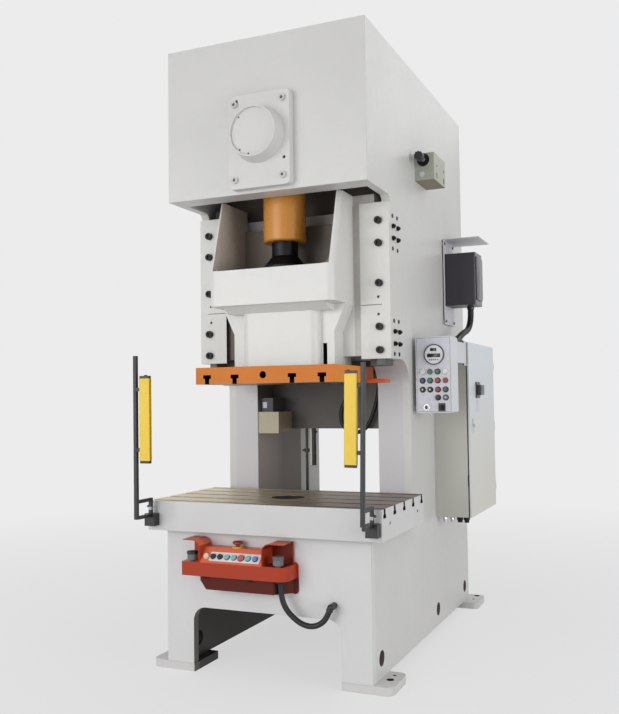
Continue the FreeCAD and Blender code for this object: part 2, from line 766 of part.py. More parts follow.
def column():
    """Channel behind the throat: an inner plate, and a flange that follows the throat."""
    line = Part.makeLine

    def solid(inset, x0, x1, rear):
        edges = throat_edges(inset)
        y = THROAT_Y + inset
        z = WAY_BOTTOM_Z + inset
        edges.append(line(vec(0, y - THROAT_R, z), vec(0, y - THROAT_R, COLUMN_TOP_Z + inset + 1)))
        edges.append(line(vec(0, y - THROAT_R, COLUMN_TOP_Z + inset + 1), vec(0, rear, COLUMN_TOP_Z + inset + 1)))
        edges.append(line(vec(0, rear, COLUMN_TOP_Z + inset + 1), vec(0, rear, BED_Z)))
        edges.append(line(vec(0, rear, BED_Z), vec(0, y, BED_Z)))
        face = Part.Face(Part.Wire(edges))
        face.translate(vec(x0, 0, 0))
        return face.extrude(vec(x1 - x0, 0, 0))

    outer = solid(0.0, COLUMN_IN_X, INNER_X, COLUMN_REAR_Y)
    hollow = solid(COLUMN_T, COLUMN_IN_X + COLUMN_T, INNER_X + 1, COLUMN_REAR_Y + 1)
    front = way_plate_y() + WAY_PLATE_T
    keep = block(COLUMN_IN_X, INNER_X, front, COLUMN_REAR_Y, BED_Z, COLUMN_TOP_Z)
    return outer.cut(hollow).common(keep)


def columns():
    return group([column(), mirrored(column())])


def way_plate_y():
    """Front face of the cross plate that carries the rear ways."""
    return SLIDE_REAR_Y + SEAT_GAP + WAY_REAR_T


def crown_front():
    """Front plate of the crown with the flange along its lower edge and the crank's bore."""
    y1 = CROWN_FRONT_Y + CROWN_PLATE_T
    plate = block(-FRAME_HALF_W, FRAME_HALF_W, CROWN_FRONT_Y, y1, CROWN_BOTTOM_Z, CROWN_TOP_Z)
    sill = block(-INNER_X, INNER_X, y1, y1 + SILL_DEPTH, CROWN_BOTTOM_Z, CROWN_BOTTOM_Z + SILL_T)
    bore = rod(0, CROWN_FRONT_Y - 1, CRANK_Z, JOURNAL_R + BUSH_WALL, CROWN_PLATE_T + 2, Y)
    return fuse([plate, sill]).cut(bore)


def crown_top():
    y1 = CROWN_FRONT_Y + CROWN_PLATE_T
    return block(-FRAME_HALF_W, FRAME_HALF_W, y1, REAR_Y, CROWN_TOP_Z - TOP_PLATE_T, CROWN_TOP_Z)


def cross_beam():
    """Beam between the columns, with the motor's shelf behind it and the hose's bracket in front."""
    web = block(-COLUMN_IN_X, COLUMN_IN_X, BEAM_Y, BEAM_Y + BEAM_T, BEAM_BOTTOM_Z, COLUMN_TOP_Z)
    shelf = block(-COLUMN_IN_X, COLUMN_IN_X, BEAM_Y + BEAM_T, SHELF_REAR_Y, SHELF_Z, SHELF_Z + SHELF_T)
    low = HOSE_ROUTE[0][2] + HOSE_GLAND_H
    x0, x1 = HOSE_BRACKET_X
    parts = [web, shelf, block(x0, x1, HOSE_BRACKET_Y0, BEAM_Y + 1, low, low + HOSE_BRACKET_H)]
    for end in (HOSE_ROUTE[0], HOSE_ROUTE[-1]):
        parts.append(rod(end[0], end[1], end[2], HOSE_GLAND_R, HOSE_GLAND_H + 1, Z))
    return fuse(parts)


def way_plate():
    y0 = way_plate_y()
    return block(-INNER_X, INNER_X, y0, y0 + WAY_PLATE_T, WAY_BOTTOM_Z, WAY_TOP_Z)


def pinion_z():
    return CRANK_Z - GEAR_MODULE * (GEAR_TEETH + PINION_TEETH) / 2


def bearing_wall(y, crank_bore_r):
    """Cross wall with a bore for the crank and one for the pinion shaft."""
    wall = block(-INNER_X, INNER_X, y, y + WALL_T, WALL_BOTTOM_Z, CROWN_TOP_Z - TOP_PLATE_T)
    crank_bore = rod(0, y - 1, CRANK_Z, crank_bore_r, WALL_T + 2, Y)
    pinion_bore = rod(0, y - 1, pinion_z(), PINION_SHAFT_R + BUSH_WALL, WALL_T + 2, Y)
    return cut(wall, [crank_bore, pinion_bore])


def bed_plate():
    """Bed under the bolster, with the leg plates that carry it."""
    y0 = BASE_FRONT_Y + BASE_PLATE_T
    y1 = REAR_Y - REAR_PLATE_T
    plate = block(-INNER_X, INNER_X, y0, y1, BED_Z - BED_T, BED_Z)
    plate = plate.cut(rod(0, 0, BED_Z - BED_T - 1, BOLSTER_HOLE_R + BED_HOLE_GAP, BED_T + 2, Z))
    leg = block(LEG_IN_X, LEG_IN_X + LEG_PLATE_T, y0, y1, FOOT_T, BED_Z - BED_T + 1)
    leg = cut(leg, [rod(LEG_IN_X - 1, y, LIFT_HOLE_Z, LIFT_HOLE_R, LEG_PLATE_T + 2, X) for y in LIFT_HOLE_Y])
    return fuse([plate, leg, mirrored(leg)])


def arch_tool(y0, y1):
    """Opening of an arch, wide at the floor and rounded at its upper corners."""
    arch = block(-ARCH_HALF_W, ARCH_HALF_W, y0, y1, 0, ARCH_TOP_Z)

    def upper(edge):
        return runs_along_y(edge) and edge.Vertexes[0].Point.z > ARCH_TOP_Z - 1

    return round_edges(arch, ARCH_R, upper)


def base_front():
    y1 = BASE_FRONT_Y + BASE_PLATE_T
    plate = block(-FRAME_HALF_W, FRAME_HALF_W, BASE_FRONT_Y, y1, FOOT_T, BED_Z)
    plate = plate.cut(arch_tool(BASE_FRONT_Y - 1, y1 + 1))
    end = vec(*CABLE_ROUTE[-1])
    axis = end - vec(*CABLE_ROUTE[-2])
    axis.normalize()
    elbow = end + axis * (OUTLET_NUT_H + OUTLET_R)
    nut = Part.makeCylinder(OUTLET_R, OUTLET_NUT_H + OUTLET_R, end, axis)
    outlet = rod(elbow.x, BASE_FRONT_Y, elbow.z, OUTLET_R, BASE_FRONT_Y - elbow.y, -Y)
    knob = Part.makeSphere(OUTLET_R, elbow)
    return fuse([plate, nut, outlet, knob])


def base_rear():
    y0 = REAR_Y - REAR_PLATE_T
    plate = block(-INNER_X, INNER_X, y0, REAR_Y, FOOT_T, BED_Z)
    return plate.cut(arch_tool(y0 - 1, REAR_Y + 1))


def anchor_ys():
    """Y of the front and the rear anchor holes."""
    return (ANCHOR_MID_Y - ANCHOR_SPACING_Y / 2, ANCHOR_MID_Y + ANCHOR_SPACING_Y / 2)


def foot_plates():
    feet = []
    offsets = (JACK_BEHIND_FRONT, -JACK_BEFORE_REAR)
    for anchor_y, y0, jack_offset in zip(anchor_ys(), (FOOT_FRONT_Y, FOOT_REAR_Y), offsets):

        def outer(edge):
            return is_upright(edge) and edge.Vertexes[0].Point.x > FOOT_OUT_X - 1

        foot = round_edges(block(FOOT_IN_X, FOOT_OUT_X, y0, y0 + FOOT_L, 0, FOOT_T), FOOT_CORNER_R, outer)
        anchor = rod(ANCHOR_HALF_X, anchor_y, -1, ANCHOR_R, FOOT_T + 2, Z)
        jack = rod(ANCHOR_HALF_X, anchor_y + jack_offset, -1, JACK_R, FOOT_T + 2, Z)
        foot = cut(foot, [anchor, jack])
        feet += [foot, mirrored(foot)]
    return group(feet)


LOUVRE_COUNT = 7
LOUVRE_PITCH = 55.0
LOUVRE_HALF_W = 220.0
LOUVRE_H = 16.0


def rear_cover():
    """Sheet guard over the flywheel and belts, with ventilation slots."""
    half = FRAME_HALF_W - 6
    sheet = block(-half, half, REAR_Y, REAR_Y + REAR_COVER_T, REAR_COVER_BOTTOM_Z, CROWN_TOP_Z - 6)
    slots = []
    for i in range(LOUVRE_COUNT):
        z = pinion_z() + (i - (LOUVRE_COUNT - 1) / 2) * LOUVRE_PITCH
        slots.append(block(-LOUVRE_HALF_W, LOUVRE_HALF_W, REAR_Y - 1, REAR_Y + REAR_COVER_T + 1,
                           z - LOUVRE_H / 2, z + LOUVRE_H / 2))
    return cut(sheet, slots)


# ---- bolster ----------------------------------------------------------------------------
def bolster():
    """Thick plate with T-slots across its width and a round hole for blanks."""
    plate = block(-BOLSTER_HALF_X, BOLSTER_HALF_X, -BOLSTER_HALF_Y, BOLSTER_HALF_Y, BED_Z, BED_Z + BOLSTER_T)
    tools = [rod(0, 0, BED_Z - 1, BOLSTER_HOLE_R, BOLSTER_T + 2, Z)]
    for i in range(BOLSTER_SLOTS):
        y = (i - (BOLSTER_SLOTS - 1) / 2) * BOLSTER_SLOT_PITCH
        tools.append(tee_slot_x(y, BED_Z + BOLSTER_T, BOLSTER_HALF_X, BOLSTER_SLOT_NECK,
                                BOLSTER_SLOT_HEAD, BOLSTER_SLOT_HEAD_H, BOLSTER_SLOT_DEPTH))
    for side in (-1, 1):
        for y in (-BOLSTER_EYE_Y, BOLSTER_EYE_Y):
            start = side * (BOLSTER_HALF_X - BOLSTER_EYE_DEPTH)
            tools.append(rod(start, y, BED_Z + BOLSTER_T / 2, BOLSTER_EYE_R, BOLSTER_EYE_DEPTH + 1, X * side))
    return cut(plate, tools)


# ---- crank, rod and slide ---------------------------------------------------------------
JOURNAL_FRONT_Y = -345.0
GEAR_SEAT_R = 100.0
TAIL_R = 80.0


def crankshaft():
    """One forging: front journal, web, pin, web, rear journal, gear seat and tail."""
    pin_z = CRANK_Z + CRANK_THROW
    web_z = CRANK_Z + CRANK_THROW / 3
    web_y = PIN_HALF_L + WEB_T
    gear_end = GEAR_Y + GEAR_W
    tail_end = WALL_B_Y + WALL_T + 15
    parts = [
        rod(0, JOURNAL_FRONT_Y, CRANK_Z, JOURNAL_R, -web_y - JOURNAL_FRONT_Y, Y),
        rod(0, -web_y, web_z, WEB_R, WEB_T, Y),
        rod(0, -PIN_HALF_L, pin_z, PIN_R, 2 * PIN_HALF_L, Y),
        rod(0, PIN_HALF_L, web_z, WEB_R, WEB_T, Y),
        rod(0, web_y, CRANK_Z, JOURNAL_R, GEAR_Y - web_y, Y),
        rod(0, GEAR_Y, CRANK_Z, GEAR_SEAT_R, GEAR_W, Y),
        rod(0, gear_end, CRANK_Z, TAIL_R, tail_end - gear_end, Y),
    ]
    return fuse(parts)


def bearing_bushes():
    """Bronze bushes of the crank and of the pinion shaft."""
    front_l = COVER_T + CROWN_PLATE_T
    bushes = [
        ring(0, CROWN_FRONT_Y - COVER_T, CRANK_Z, JOURNAL_R + BUSH_WALL, JOURNAL_R + RUN_FIT, front_l, Y),
        ring(0, WALL_A_Y, CRANK_Z, JOURNAL_R + BUSH_WALL, JOURNAL_R + RUN_FIT, WALL_T, Y),
        ring(0, WALL_B_Y, CRANK_Z, TAIL_R + BUSH_WALL, TAIL_R + RUN_FIT, WALL_T, Y),
    ]
    for y in (WALL_A_Y, WALL_B_Y):
        bushes.append(ring(0, y, pinion_z(), PINION_SHAFT_R + BUSH_WALL, PINION_SHAFT_R + RUN_FIT, WALL_T, Y))
    return group(bushes)


def connecting_rod():
    """Eye round the crank pin, neck, and barrel with the bore for the adjusting screw."""
    pin_z = CRANK_Z + CRANK_THROW
    eye = rod(0, -ROD_HALF_T, pin_z, ROD_EYE_R, 2 * ROD_HALF_T, Y)
    neck = block(-ROD_BARREL_R * 0.9, ROD_BARREL_R * 0.9, -ROD_HALF_T, ROD_HALF_T, ROD_BARREL_TOP_Z - 20, pin_z)
    barrel = rod(0, 0, ROD_BARREL_BOTTOM_Z, ROD_BARREL_R, ROD_BARREL_TOP_Z - ROD_BARREL_BOTTOM_Z, Z)

    def lower_rim(edge):
        return edge.BoundBox.ZMax < ROD_BARREL_BOTTOM_Z + 1 and edge.BoundBox.XLength > ROD_BARREL_R

    barrel = barrel.makeChamfer(ROD_BARREL_CHAMFER, [e for e in barrel.Edges if lower_rim(e)])
    body = fuse([eye, neck, barrel])
    pin_bore = rod(0, -ROD_HALF_T - 1, pin_z, PIN_R + RUN_FIT, 2 * ROD_HALF_T + 2, Y)
    screw_bore = rod(0, 0, ROD_BARREL_BOTTOM_Z - 1, SCREW_R + RUN_FIT, SCREW_TOP_Z + 5 - ROD_BARREL_BOTTOM_Z, Z)
    return cut(body, [pin_bore, screw_bore])


def adjusting_screw():
    """Ball-ended screw that sets the die height."""
    ball = Part.makeSphere(BALL_R, vec(0, 0, BALL_Z))
    flare_top = SCREW_FLARE_Z + SCREW_FLARE_H
    flare = Part.makeCone(SCREW_FLARE_R, SCREW_R, SCREW_FLARE_H, vec(0, 0, SCREW_FLARE_Z), Z)
    collar = rod(0, 0, SCREW_FLARE_Z - SCREW_COLLAR_H, SCREW_FLARE_R, SCREW_COLLAR_H, Z)
    neck = rod(0, 0, BALL_Z, BALL_R * 0.7, SCREW_FLARE_Z - BALL_Z, Z)
    shank = rod(0, 0, flare_top, SCREW_R, SCREW_TOP_Z - flare_top, Z)
    return fuse([ball, neck, collar, flare, shank])


def slide_body():
    """Casting: box with sloping ears, guide wings, and the narrower body that carries the plate."""
    side = [
        vec(-SLIDE_HALF_X, SLIDE_FRONT_Y, SLIDE_BOX_BOTTOM_Z),
        vec(-SLIDE_HALF_X, SLIDE_FRONT_Y, SLIDE_BOX_TOP_Z),
        vec(-SLIDE_HALF_X, SLIDE_EAR_TOP_Y, SLIDE_EAR_TOP_Z),
        vec(-SLIDE_HALF_X, SLIDE_REAR_Y, SLIDE_EAR_TOP_Z),
        vec(-SLIDE_HALF_X, SLIDE_REAR_Y, SLIDE_BOX_BOTTOM_Z),
    ]

    def front_corner(edge):
        a = edge.Vertexes[0].Point
        b = edge.Vertexes[-1].Point
        in_front = max(a.y, b.y) < SLIDE_EAR_TOP_Y + 1
        return in_front and abs(a.x - b.x) < 0.01 and abs(a.z - b.z) > 1

    box = round_edges(prism(side, vec(2 * SLIDE_HALF_X, 0, 0)), SLIDE_CORNER_R, front_corner)
    in_x = SLIDE_HALF_X - SLIDE_WALL
    well = block(-in_x, in_x, SLIDE_FRONT_Y + SLIDE_FRONT_WALL, SLIDE_REAR_Y - SLIDE_WALL,
                 SLIDE_FLOOR_Z, SLIDE_EAR_TOP_Z + 1)
    window = block(-in_x, in_x, SLIDE_FRONT_Y - 1, SLIDE_FRONT_Y + SLIDE_FRONT_WALL + SLIDE_CORNER_R,
                   SLIDE_BOX_TOP_Z, SLIDE_EAR_TOP_Z + 1)

    def window_corner(edge):
        return runs_along_y(edge) and edge.Vertexes[0].Point.z < SLIDE_BOX_TOP_Z + 1

    window = round_edges(window, SLIDE_WINDOW_R, window_corner)
    above_window = block(-in_x, in_x, SLIDE_FRONT_Y - 1, SLIDE_REAR_Y - SLIDE_WALL,
                         SLIDE_BOX_TOP_Z + SLIDE_WINDOW_R, SLIDE_EAR_TOP_Z + 1)
    back_gap = block(-in_x, in_x, 0, SLIDE_REAR_Y + 1, SLIDE_EAR_TOP_Z - SLIDE_BACK_DROP, SLIDE_EAR_TOP_Z + 1)
    box = cut(box, [well, window, above_window, back_gap])
    wing_y = WAY_EDGE_Y + SEAT_GAP
    wing = block(in_x, WING_HALF_X, wing_y, SLIDE_REAR_Y, SLIDE_BOX_BOTTOM_Z, SLIDE_EAR_TOP_Z)
    low_wing = block(LOWER_HALF_X - 1, WING_HALF_X, wing_y, SLIDE_REAR_Y, WING_BOTTOM_Z, SLIDE_BOX_BOTTOM_Z)
    lower = block(-LOWER_HALF_X, LOWER_HALF_X, LOWER_FRONT_Y, SLIDE_REAR_Y, SLIDE_PLATE_TOP_Z, SLIDE_BOX_BOTTOM_Z)
    side_slope = prism([
        vec(LOWER_HALF_X - 1, LOWER_FRONT_Y, SLIDE_BOX_BOTTOM_Z - LOWER_SLOPE_H),
        vec(SLIDE_HALF_X, LOWER_FRONT_Y, SLIDE_BOX_BOTTOM_Z),
        vec(LOWER_HALF_X - 1, LOWER_FRONT_Y, SLIDE_BOX_BOTTOM_Z),
    ], vec(0, wing_y - LOWER_FRONT_Y + 1, 0))
    under_slope = prism([
        vec(-LOWER_HALF_X, SLIDE_FRONT_Y + SLIDE_CORNER_R, SLIDE_BOX_BOTTOM_Z),
        vec(-LOWER_HALF_X, LOWER_PANEL_Y, SLIDE_BOX_BOTTOM_Z - UNDER_SLOPE_H),
        vec(-LOWER_HALF_X, LOWER_FRONT_Y + 1, SLIDE_BOX_BOTTOM_Z - UNDER_SLOPE_H),
        vec(-LOWER_HALF_X, LOWER_FRONT_Y + 1, SLIDE_BOX_BOTTOM_Z),
    ], vec(2 * LOWER_HALF_X, 0, 0))
    panel = block(-LOWER_PANEL_HALF_X, LOWER_PANEL_HALF_X, LOWER_PANEL_Y, LOWER_FRONT_Y + 1,
                  SLIDE_PLATE_TOP_Z + LOWER_PANEL_GAP, SLIDE_BOX_BOTTOM_Z)

    def panel_front(edge):
        return is_upright(edge) and edge.Vertexes[0].Point.y < LOWER_PANEL_Y + 1

    panel = round_edges(panel, LOWER_PANEL_R, panel_front)
    body = fuse([box, wing, mirrored(wing), low_wing, mirrored(low_wing), lower,
                 side_slope, mirrored(side_slope), under_slope, panel])
    knockout_z = SLIDE_PLATE_TOP_Z + KNOCKOUT_LIFT
    knockout = block(KNOCKOUT_X - KNOCKOUT_W / 2, KNOCKOUT_X + KNOCKOUT_W / 2,
                     LOWER_FRONT_Y - 1, LOWER_FRONT_Y + KNOCKOUT_DEPTH, knockout_z, knockout_z + KNOCKOUT_H)
    return body.cut(knockout)


def slide_plate():
    """Plate under the slide with T-slots from front to back and a round hole in its front."""
    z0 = SLIDE_PLATE_TOP_Z - SLIDE_PLATE_T
    plate = block(-SLIDE_PLATE_HALF_X, SLIDE_PLATE_HALF_X, -SLIDE_PLATE_HALF_Y, SLIDE_PLATE_HALF_Y,
                  z0, SLIDE_PLATE_TOP_Z)
    tab = block(-SLIDE_TAB_HALF_X, SLIDE_TAB_HALF_X, SLIDE_TAB_Y0, SLIDE_PLATE_HALF_Y, z0, z0 + SLIDE_TAB_T)
    tools = []
    for x in SLIDE_SLOT_X:
        tools.append(tee_slot_y(x, z0, 2 * SLIDE_PLATE_HALF_Y, SLIDE_PLATE_HALF_Y, SLIDE_SLOT_NECK,
                                SLIDE_SLOT_HEAD, SLIDE_SLOT_HEAD_H, SLIDE_SLOT_DEPTH))
    tools.append(rod(0, -SLIDE_PLATE_HALF_Y - 1, z0 + SLIDE_PLATE_T / 2, SLIDE_HOLE_R, 80, Y))
    return cut(fuse([plate, tab]), tools)


def ball_seat():
    """Shallow dish on the slide's floor, under the ball."""
    seat_r = SLIDE_REAR_Y - SLIDE_WALL - SEAT_INSET
    seat = rod(0, 0, SLIDE_FLOOR_Z, seat_r, SEAT_TOP_Z - SLIDE_FLOOR_Z, Z)
    dish = Part.makeSphere(SEAT_DISH_R, vec(0, 0, SEAT_TOP_Z + SEAT_DISH_R - SEAT_DISH_DEPTH))
    return seat.cut(dish)


# ---- ways -------------------------------------------------------------------------------
def gib_plate():
    """Front plate of the ways, with the saw cut that splits its inner part."""
    plate = block(GIB_IN_X, FRAME_HALF_W, WAY_EDGE_Y - GIB_T, WAY_EDGE_Y, WAY_BOTTOM_Z, WAY_TOP_Z)
    slit = block(GIB_IN_X - 1, GIB_SLIT_END_X, WAY_EDGE_Y - GIB_T - 1, WAY_EDGE_Y + 1,
                 GIB_SLIT_Z - GIB_SLIT_H / 2, GIB_SLIT_Z + GIB_SLIT_H / 2)
    holes = [rod(GIB_SCREW_X - 8, WAY_EDGE_Y - GIB_T - 1, z, GIB_HOLE_R, GIB_T - 4, Y) for z in GIB_HOLE_Z]
    return cut(plate, [slit] + holes)


def slide_way():
    """L-shaped way: a bar beside the wing and a bar behind it."""
    side = block(WING_HALF_X + SEAT_GAP, INNER_X, WAY_EDGE_Y, way_plate_y(), WAY_BAR_BOTTOM_Z, WAY_TOP_Z)
    rear = block(REAR_WAY_IN_X, INNER_X, SLIDE_REAR_Y + SEAT_GAP, way_plate_y(), WAY_BAR_BOTTOM_Z, WAY_TOP_Z)
    return fuse([side, rear])


def gib_plates():
    return group([gib_plate(), mirrored(gib_plate())])


def slide_ways():
    return group([slide_way(), mirrored(slide_way())])


def frame_screws():
    """Cap screws of the gib plates, and the nuts and plugs on the side plates."""
    screws = []
    for z in GIB_SCREW_Z:
        head = rod(GIB_SCREW_X, WAY_EDGE_Y - GIB_T, z, SCREW_HEAD_R, SCREW_HEAD_H, -Y)
        socket = hex_head(GIB_SCREW_X, WAY_EDGE_Y - GIB_T - SCREW_HEAD_H - 1, z, SCREW_HEAD_R * 0.5,
                          SCREW_HEAD_H * 0.5, Y)
        screws.append(head.cut(socket))
    for y in SIDE_SCREW_Y:
        for z in SIDE_NUT_Z:
            nut = hex_head(FRAME_HALF_W, y, z, SIDE_NUT_R, SIDE_NUT_H * 0.6, X)
            stud = rod(FRAME_HALF_W, y, z, SIDE_NUT_R * 0.55, SIDE_NUT_H, X)
            screws.append(fuse([nut, stud]))
        for z in SIDE_PLUG_Z:
            screws.append(rod(FRAME_HALF_W, y, z, SIDE_PLUG_R, SIDE_PLUG_H, X))
    return group(screws + [mirrored(s) for s in screws])


def crank_cover():
    """Flanged cover of the crank's front bearing, with a dished round face."""
    y0 = CROWN_FRONT_Y - COVER_T
    plate = rounded_plate(-COVER_HALF_X, COVER_HALF_X, y0, CROWN_FRONT_Y,
                          COVER_BOTTOM_Z, COVER_TOP_Z, COVER_CORNER_R)
    boss = Part.makeCone(BOSS_R + BOSS_FLARE, BOSS_R, BOSS_H, vec(0, y0, CRANK_Z), -Y)
    cover = fuse([plate, boss])
    face_y = y0 - BOSS_H
    tools = [
        rod(0, face_y - 1, CRANK_Z, BOSS_R - BOSS_RIM, BOSS_RECESS + 1, Y),
        rod(0, face_y + BOSS_RECESS + BOSS_SKIN, CRANK_Z, JOURNAL_R + BUSH_WALL, COVER_T + BOSS_H, Y),
    ]
    for x, z in COVER_PLUGS:
        tools.append(rod(x, y0 - 1, z, COVER_PLUG_R, COVER_PLUG_DEPTH + 1, Y))
    for degrees in BOSS_HOLE_ANGLES:
        angle = math.radians(degrees)
        x = BOSS_HOLE_CIRCLE_R * math.cos(angle)
        z = CRANK_Z + BOSS_HOLE_CIRCLE_R * math.sin(angle)
        tools.append(rod(x, face_y - 1, z, BOSS_HOLE_R, BOSS_RECESS + BOSS_HOLE_DEPTH + 1, Y))
    return cut(cover, tools)


def cover_screws():
    y0 = CROWN_FRONT_Y - COVER_T
    heads = []
    for x in (-COVER_SCREW_X, COVER_SCREW_X):
        for z in COVER_SCREW_Z:
            head = rod(x, y0, z, COVER_SCREW_R, COVER_SCREW_H, -Y)
            heads.append(head.cut(hex_head(x, y0 - COVER_SCREW_H - 1, z, COVER_SCREW_R * 0.5, 9, Y)))
    return group(heads)


# ---- drive ------------------------------------------------------------------------------
def tooth_flank(base_r, r, half_angle_at_base):
    """Point of an involute flank at radius r, right of the tooth's middle line."""
    pressure = math.acos(min(1.0, base_r / r))
    involute = math.tan(pressure) - pressure
    angle = half_angle_at_base - involute
    return (r * math.sin(angle), r * math.cos(angle))


def gear_outline(teeth, thinning):
    """Outline of a spur gear in the XZ plane round the origin, with one tooth pointing up."""
    pitch_r = GEAR_MODULE * teeth / 2
    base_r = pitch_r * math.cos(math.radians(PRESSURE_ANGLE))
    tip_r = pitch_r + GEAR_MODULE
    root_r = pitch_r - 1.25 * GEAR_MODULE
    pressure = math.radians(PRESSURE_ANGLE)
    half_pitch_tooth = math.pi / (2 * teeth) - thinning / (4 * pitch_r)
    half_base = half_pitch_tooth + math.tan(pressure) - pressure
    low_r = max(base_r, root_r)
    radii = [low_r, (low_r + pitch_r) / 2, pitch_r, (pitch_r + tip_r) / 2, tip_r]
    right = [tooth_flank(base_r, r, half_base) for r in radii]
    root_angle = half_base if base_r > root_r else math.atan2(right[0][0], right[0][1])
    right = [(root_r * math.sin(root_angle), root_r * math.cos(root_angle))] + right
    profile = [(-x, z) for x, z in right] + right[::-1]
    points = []
    for i in range(teeth):
        turn = 2 * math.pi * i / teeth
        for x, z in profile:
            x_turned = x * math.cos(turn) + z * math.sin(turn)
            z_turned = z * math.cos(turn) - x * math.sin(turn)
            points.append(vec(x_turned, 0, z_turned))
    return points


def gear_blank(teeth, width):
    """Toothed disc whose axis is Y, from y = 0 to the width."""
    return prism(gear_outline(teeth, BACKLASH), vec(0, width, 0))


def main_gear():
    """Bull gear with a thin web between rim and hub."""
    pitch_r = GEAR_MODULE * GEAR_TEETH / 2
    gear = gear_blank(GEAR_TEETH, GEAR_W)
    rim_r = pitch_r - GEAR_RIM
    depth = (GEAR_W - GEAR_WEB_W) / 2
    tools = [rod(0, -1, 0, GEAR_SEAT_R, GEAR_W + 2, Y)]
    for y in (-1, GEAR_W - depth):
        tools.append(ring(0, y, 0, rim_r, GEAR_HUB_R, depth + 1, Y))
    for i in range(GEAR_WINDOWS):
        angle = 2 * math.pi * i / GEAR_WINDOWS
        middle = (rim_r + GEAR_HUB_R) / 2
        x = middle * math.cos(angle)
        z = middle * math.sin(angle)
        tools.append(rod(x, -1, z, GEAR_WINDOW_R, GEAR_W + 2, Y))
    gear = cut(gear, tools)
    gear.rotate(ORIGIN, Y, 180.0 / GEAR_TEETH)
    gear.translate(vec(0, GEAR_Y, CRANK_Z))
    return gear


def pinion_shaft():
    """Shaft with the pinion cut on it."""
    z = pinion_z()
    y0 = WALL_A_Y - 15
    shaft = rod(0, y0, z, PINION_SHAFT_R, shaft_end() - y0, Y)
    pinion = gear_blank(PINION_TEETH, GEAR_W + 10)
    pinion.translate(vec(0, GEAR_Y - 5, z))
    return fuse([shaft, pinion])


def clutch_y():
    return FLYWHEEL_Y + FLYWHEEL_W + 10


def shaft_end():
    return clutch_y() + CLUTCH_W - CLUTCH_END_T


def flywheel():
    z = pinion_z()
    wheel = rod(0, FLYWHEEL_Y, z, FLYWHEEL_R, FLYWHEEL_W, Y)
    depth = (FLYWHEEL_W - FLYWHEEL_WEB_W) / 2
    tools = [rod(0, FLYWHEEL_Y - 1, z, PINION_SHAFT_R + RUN_FIT, FLYWHEEL_W + 2, Y)]
    for y in (FLYWHEEL_Y - 1, FLYWHEEL_Y + FLYWHEEL_W - depth):
        tools.append(ring(0, y, z, FLYWHEEL_R - FLYWHEEL_RIM, FLYWHEEL_HUB_R, depth + 1, Y))
    return cut(wheel, tools)


def clutch_brake():
    """Stack of discs on the rear end of the pinion shaft, with the air inlet behind it."""
    z = pinion_z()
    y = clutch_y()
    third = CLUTCH_W / 3
    stack = [
        rod(0, y, z, CLUTCH_R, third, Y),
        rod(0, y + third, z, CLUTCH_R * 0.8, third, Y),
        rod(0, y + 2 * third, z, CLUTCH_R * 0.9, third, Y),
        rod(0, y + CLUTCH_W, z, AIR_INLET_R, AIR_INLET_L, Y),
    ]
    return fuse(stack).cut(rod(0, y - 1, z, PINION_SHAFT_R, shaft_end() - y + 1, Y))


def motor_y():
    """Front and rear end of the motor's housing, behind the belts."""
    front = FLYWHEEL_Y + FLYWHEEL_W / 2 + pulley_width() / 2 + MOTOR_PULLEY_GAP
    return (front, front + MOTOR_L)


def pulley_width():
    return BELT_COUNT * BELT_PITCH + 20


def motor():
    y0, y1 = motor_y()
    housing = rod(0, y0, MOTOR_Z, MOTOR_R, MOTOR_L, Y)
    hood = rod(0, y1 - 1, MOTOR_Z, MOTOR_R - MOTOR_HOOD_STEP, MOTOR_HOOD_L + 1, Y)
    shelf_top = SHELF_Z + SHELF_T
    inset = MOTOR_FOOT_INSET
    foot = block(-MOTOR_FOOT_X, MOTOR_FOOT_X, y0 + inset, y1 - inset, shelf_top, shelf_top + MOTOR_FOOT_T)
    inset = MOTOR_SADDLE_INSET
    saddle = block(-MOTOR_SADDLE_X, MOTOR_SADDLE_X, y0 + inset, y1 - inset, shelf_top + MOTOR_FOOT_T - 1, MOTOR_Z)
    terminal = block(MOTOR_R - TERMINAL_SINK, MOTOR_R + TERMINAL_OUT, y0 + TERMINAL_Y[0], y0 + TERMINAL_Y[1],
                     MOTOR_Z - TERMINAL_HALF_H, MOTOR_Z + TERMINAL_HALF_H)
    bore = rod(0, y0 - 1, MOTOR_Z, MOTOR_SHAFT_R + RUN_FIT, MOTOR_BORE_L + 1, Y)
    return fuse([housing, hood, foot, saddle, terminal]).cut(bore)


def motor_pulley():
    middle = FLYWHEEL_Y + FLYWHEEL_W / 2
    width = pulley_width()
    y0 = middle - width / 2
    shaft = rod(0, y0, MOTOR_Z, MOTOR_SHAFT_R, motor_y()[0] + MOTOR_BORE_L - 5 - y0, Y)
    parts = [shaft, rod(0, y0, MOTOR_Z, PULLEY_R, width, Y)]
    for y in (y0, y0 + width - PULLEY_FLANGE_T):
        parts.append(rod(0, y, MOTOR_Z, PULLEY_R + BELT_H, PULLEY_FLANGE_T, Y))
    return fuse(parts)


def belt_loop(y, grow):
    """Outline of a belt round flywheel and pulley, as a face at the given y."""
    big = FLYWHEEL_R + BELT_GAP + grow
    small = PULLEY_R + BELT_GAP + grow
    distance = pinion_z() - MOTOR_Z
    slant = math.asin((big - small) / distance)
    cos_s = math.cos(slant)
    sin_s = math.sin(slant)
    top = pinion_z()
    a = vec(big * cos_s, y, top - big * sin_s)
    b = vec(small * cos_s, y, MOTOR_Z - small * sin_s)
    a_left = vec(-a.x, y, a.z)
    b_left = vec(-b.x, y, b.z)
    edges = [
        Part.Arc(a_left, vec(0, y, top + big), a).toShape(),
        Part.makeLine(a, b),
        Part.Arc(b, vec(0, y, MOTOR_Z - small), b_left).toShape(),
        Part.makeLine(b_left, a_left),
    ]
    return Part.Face(Part.Wire(edges))


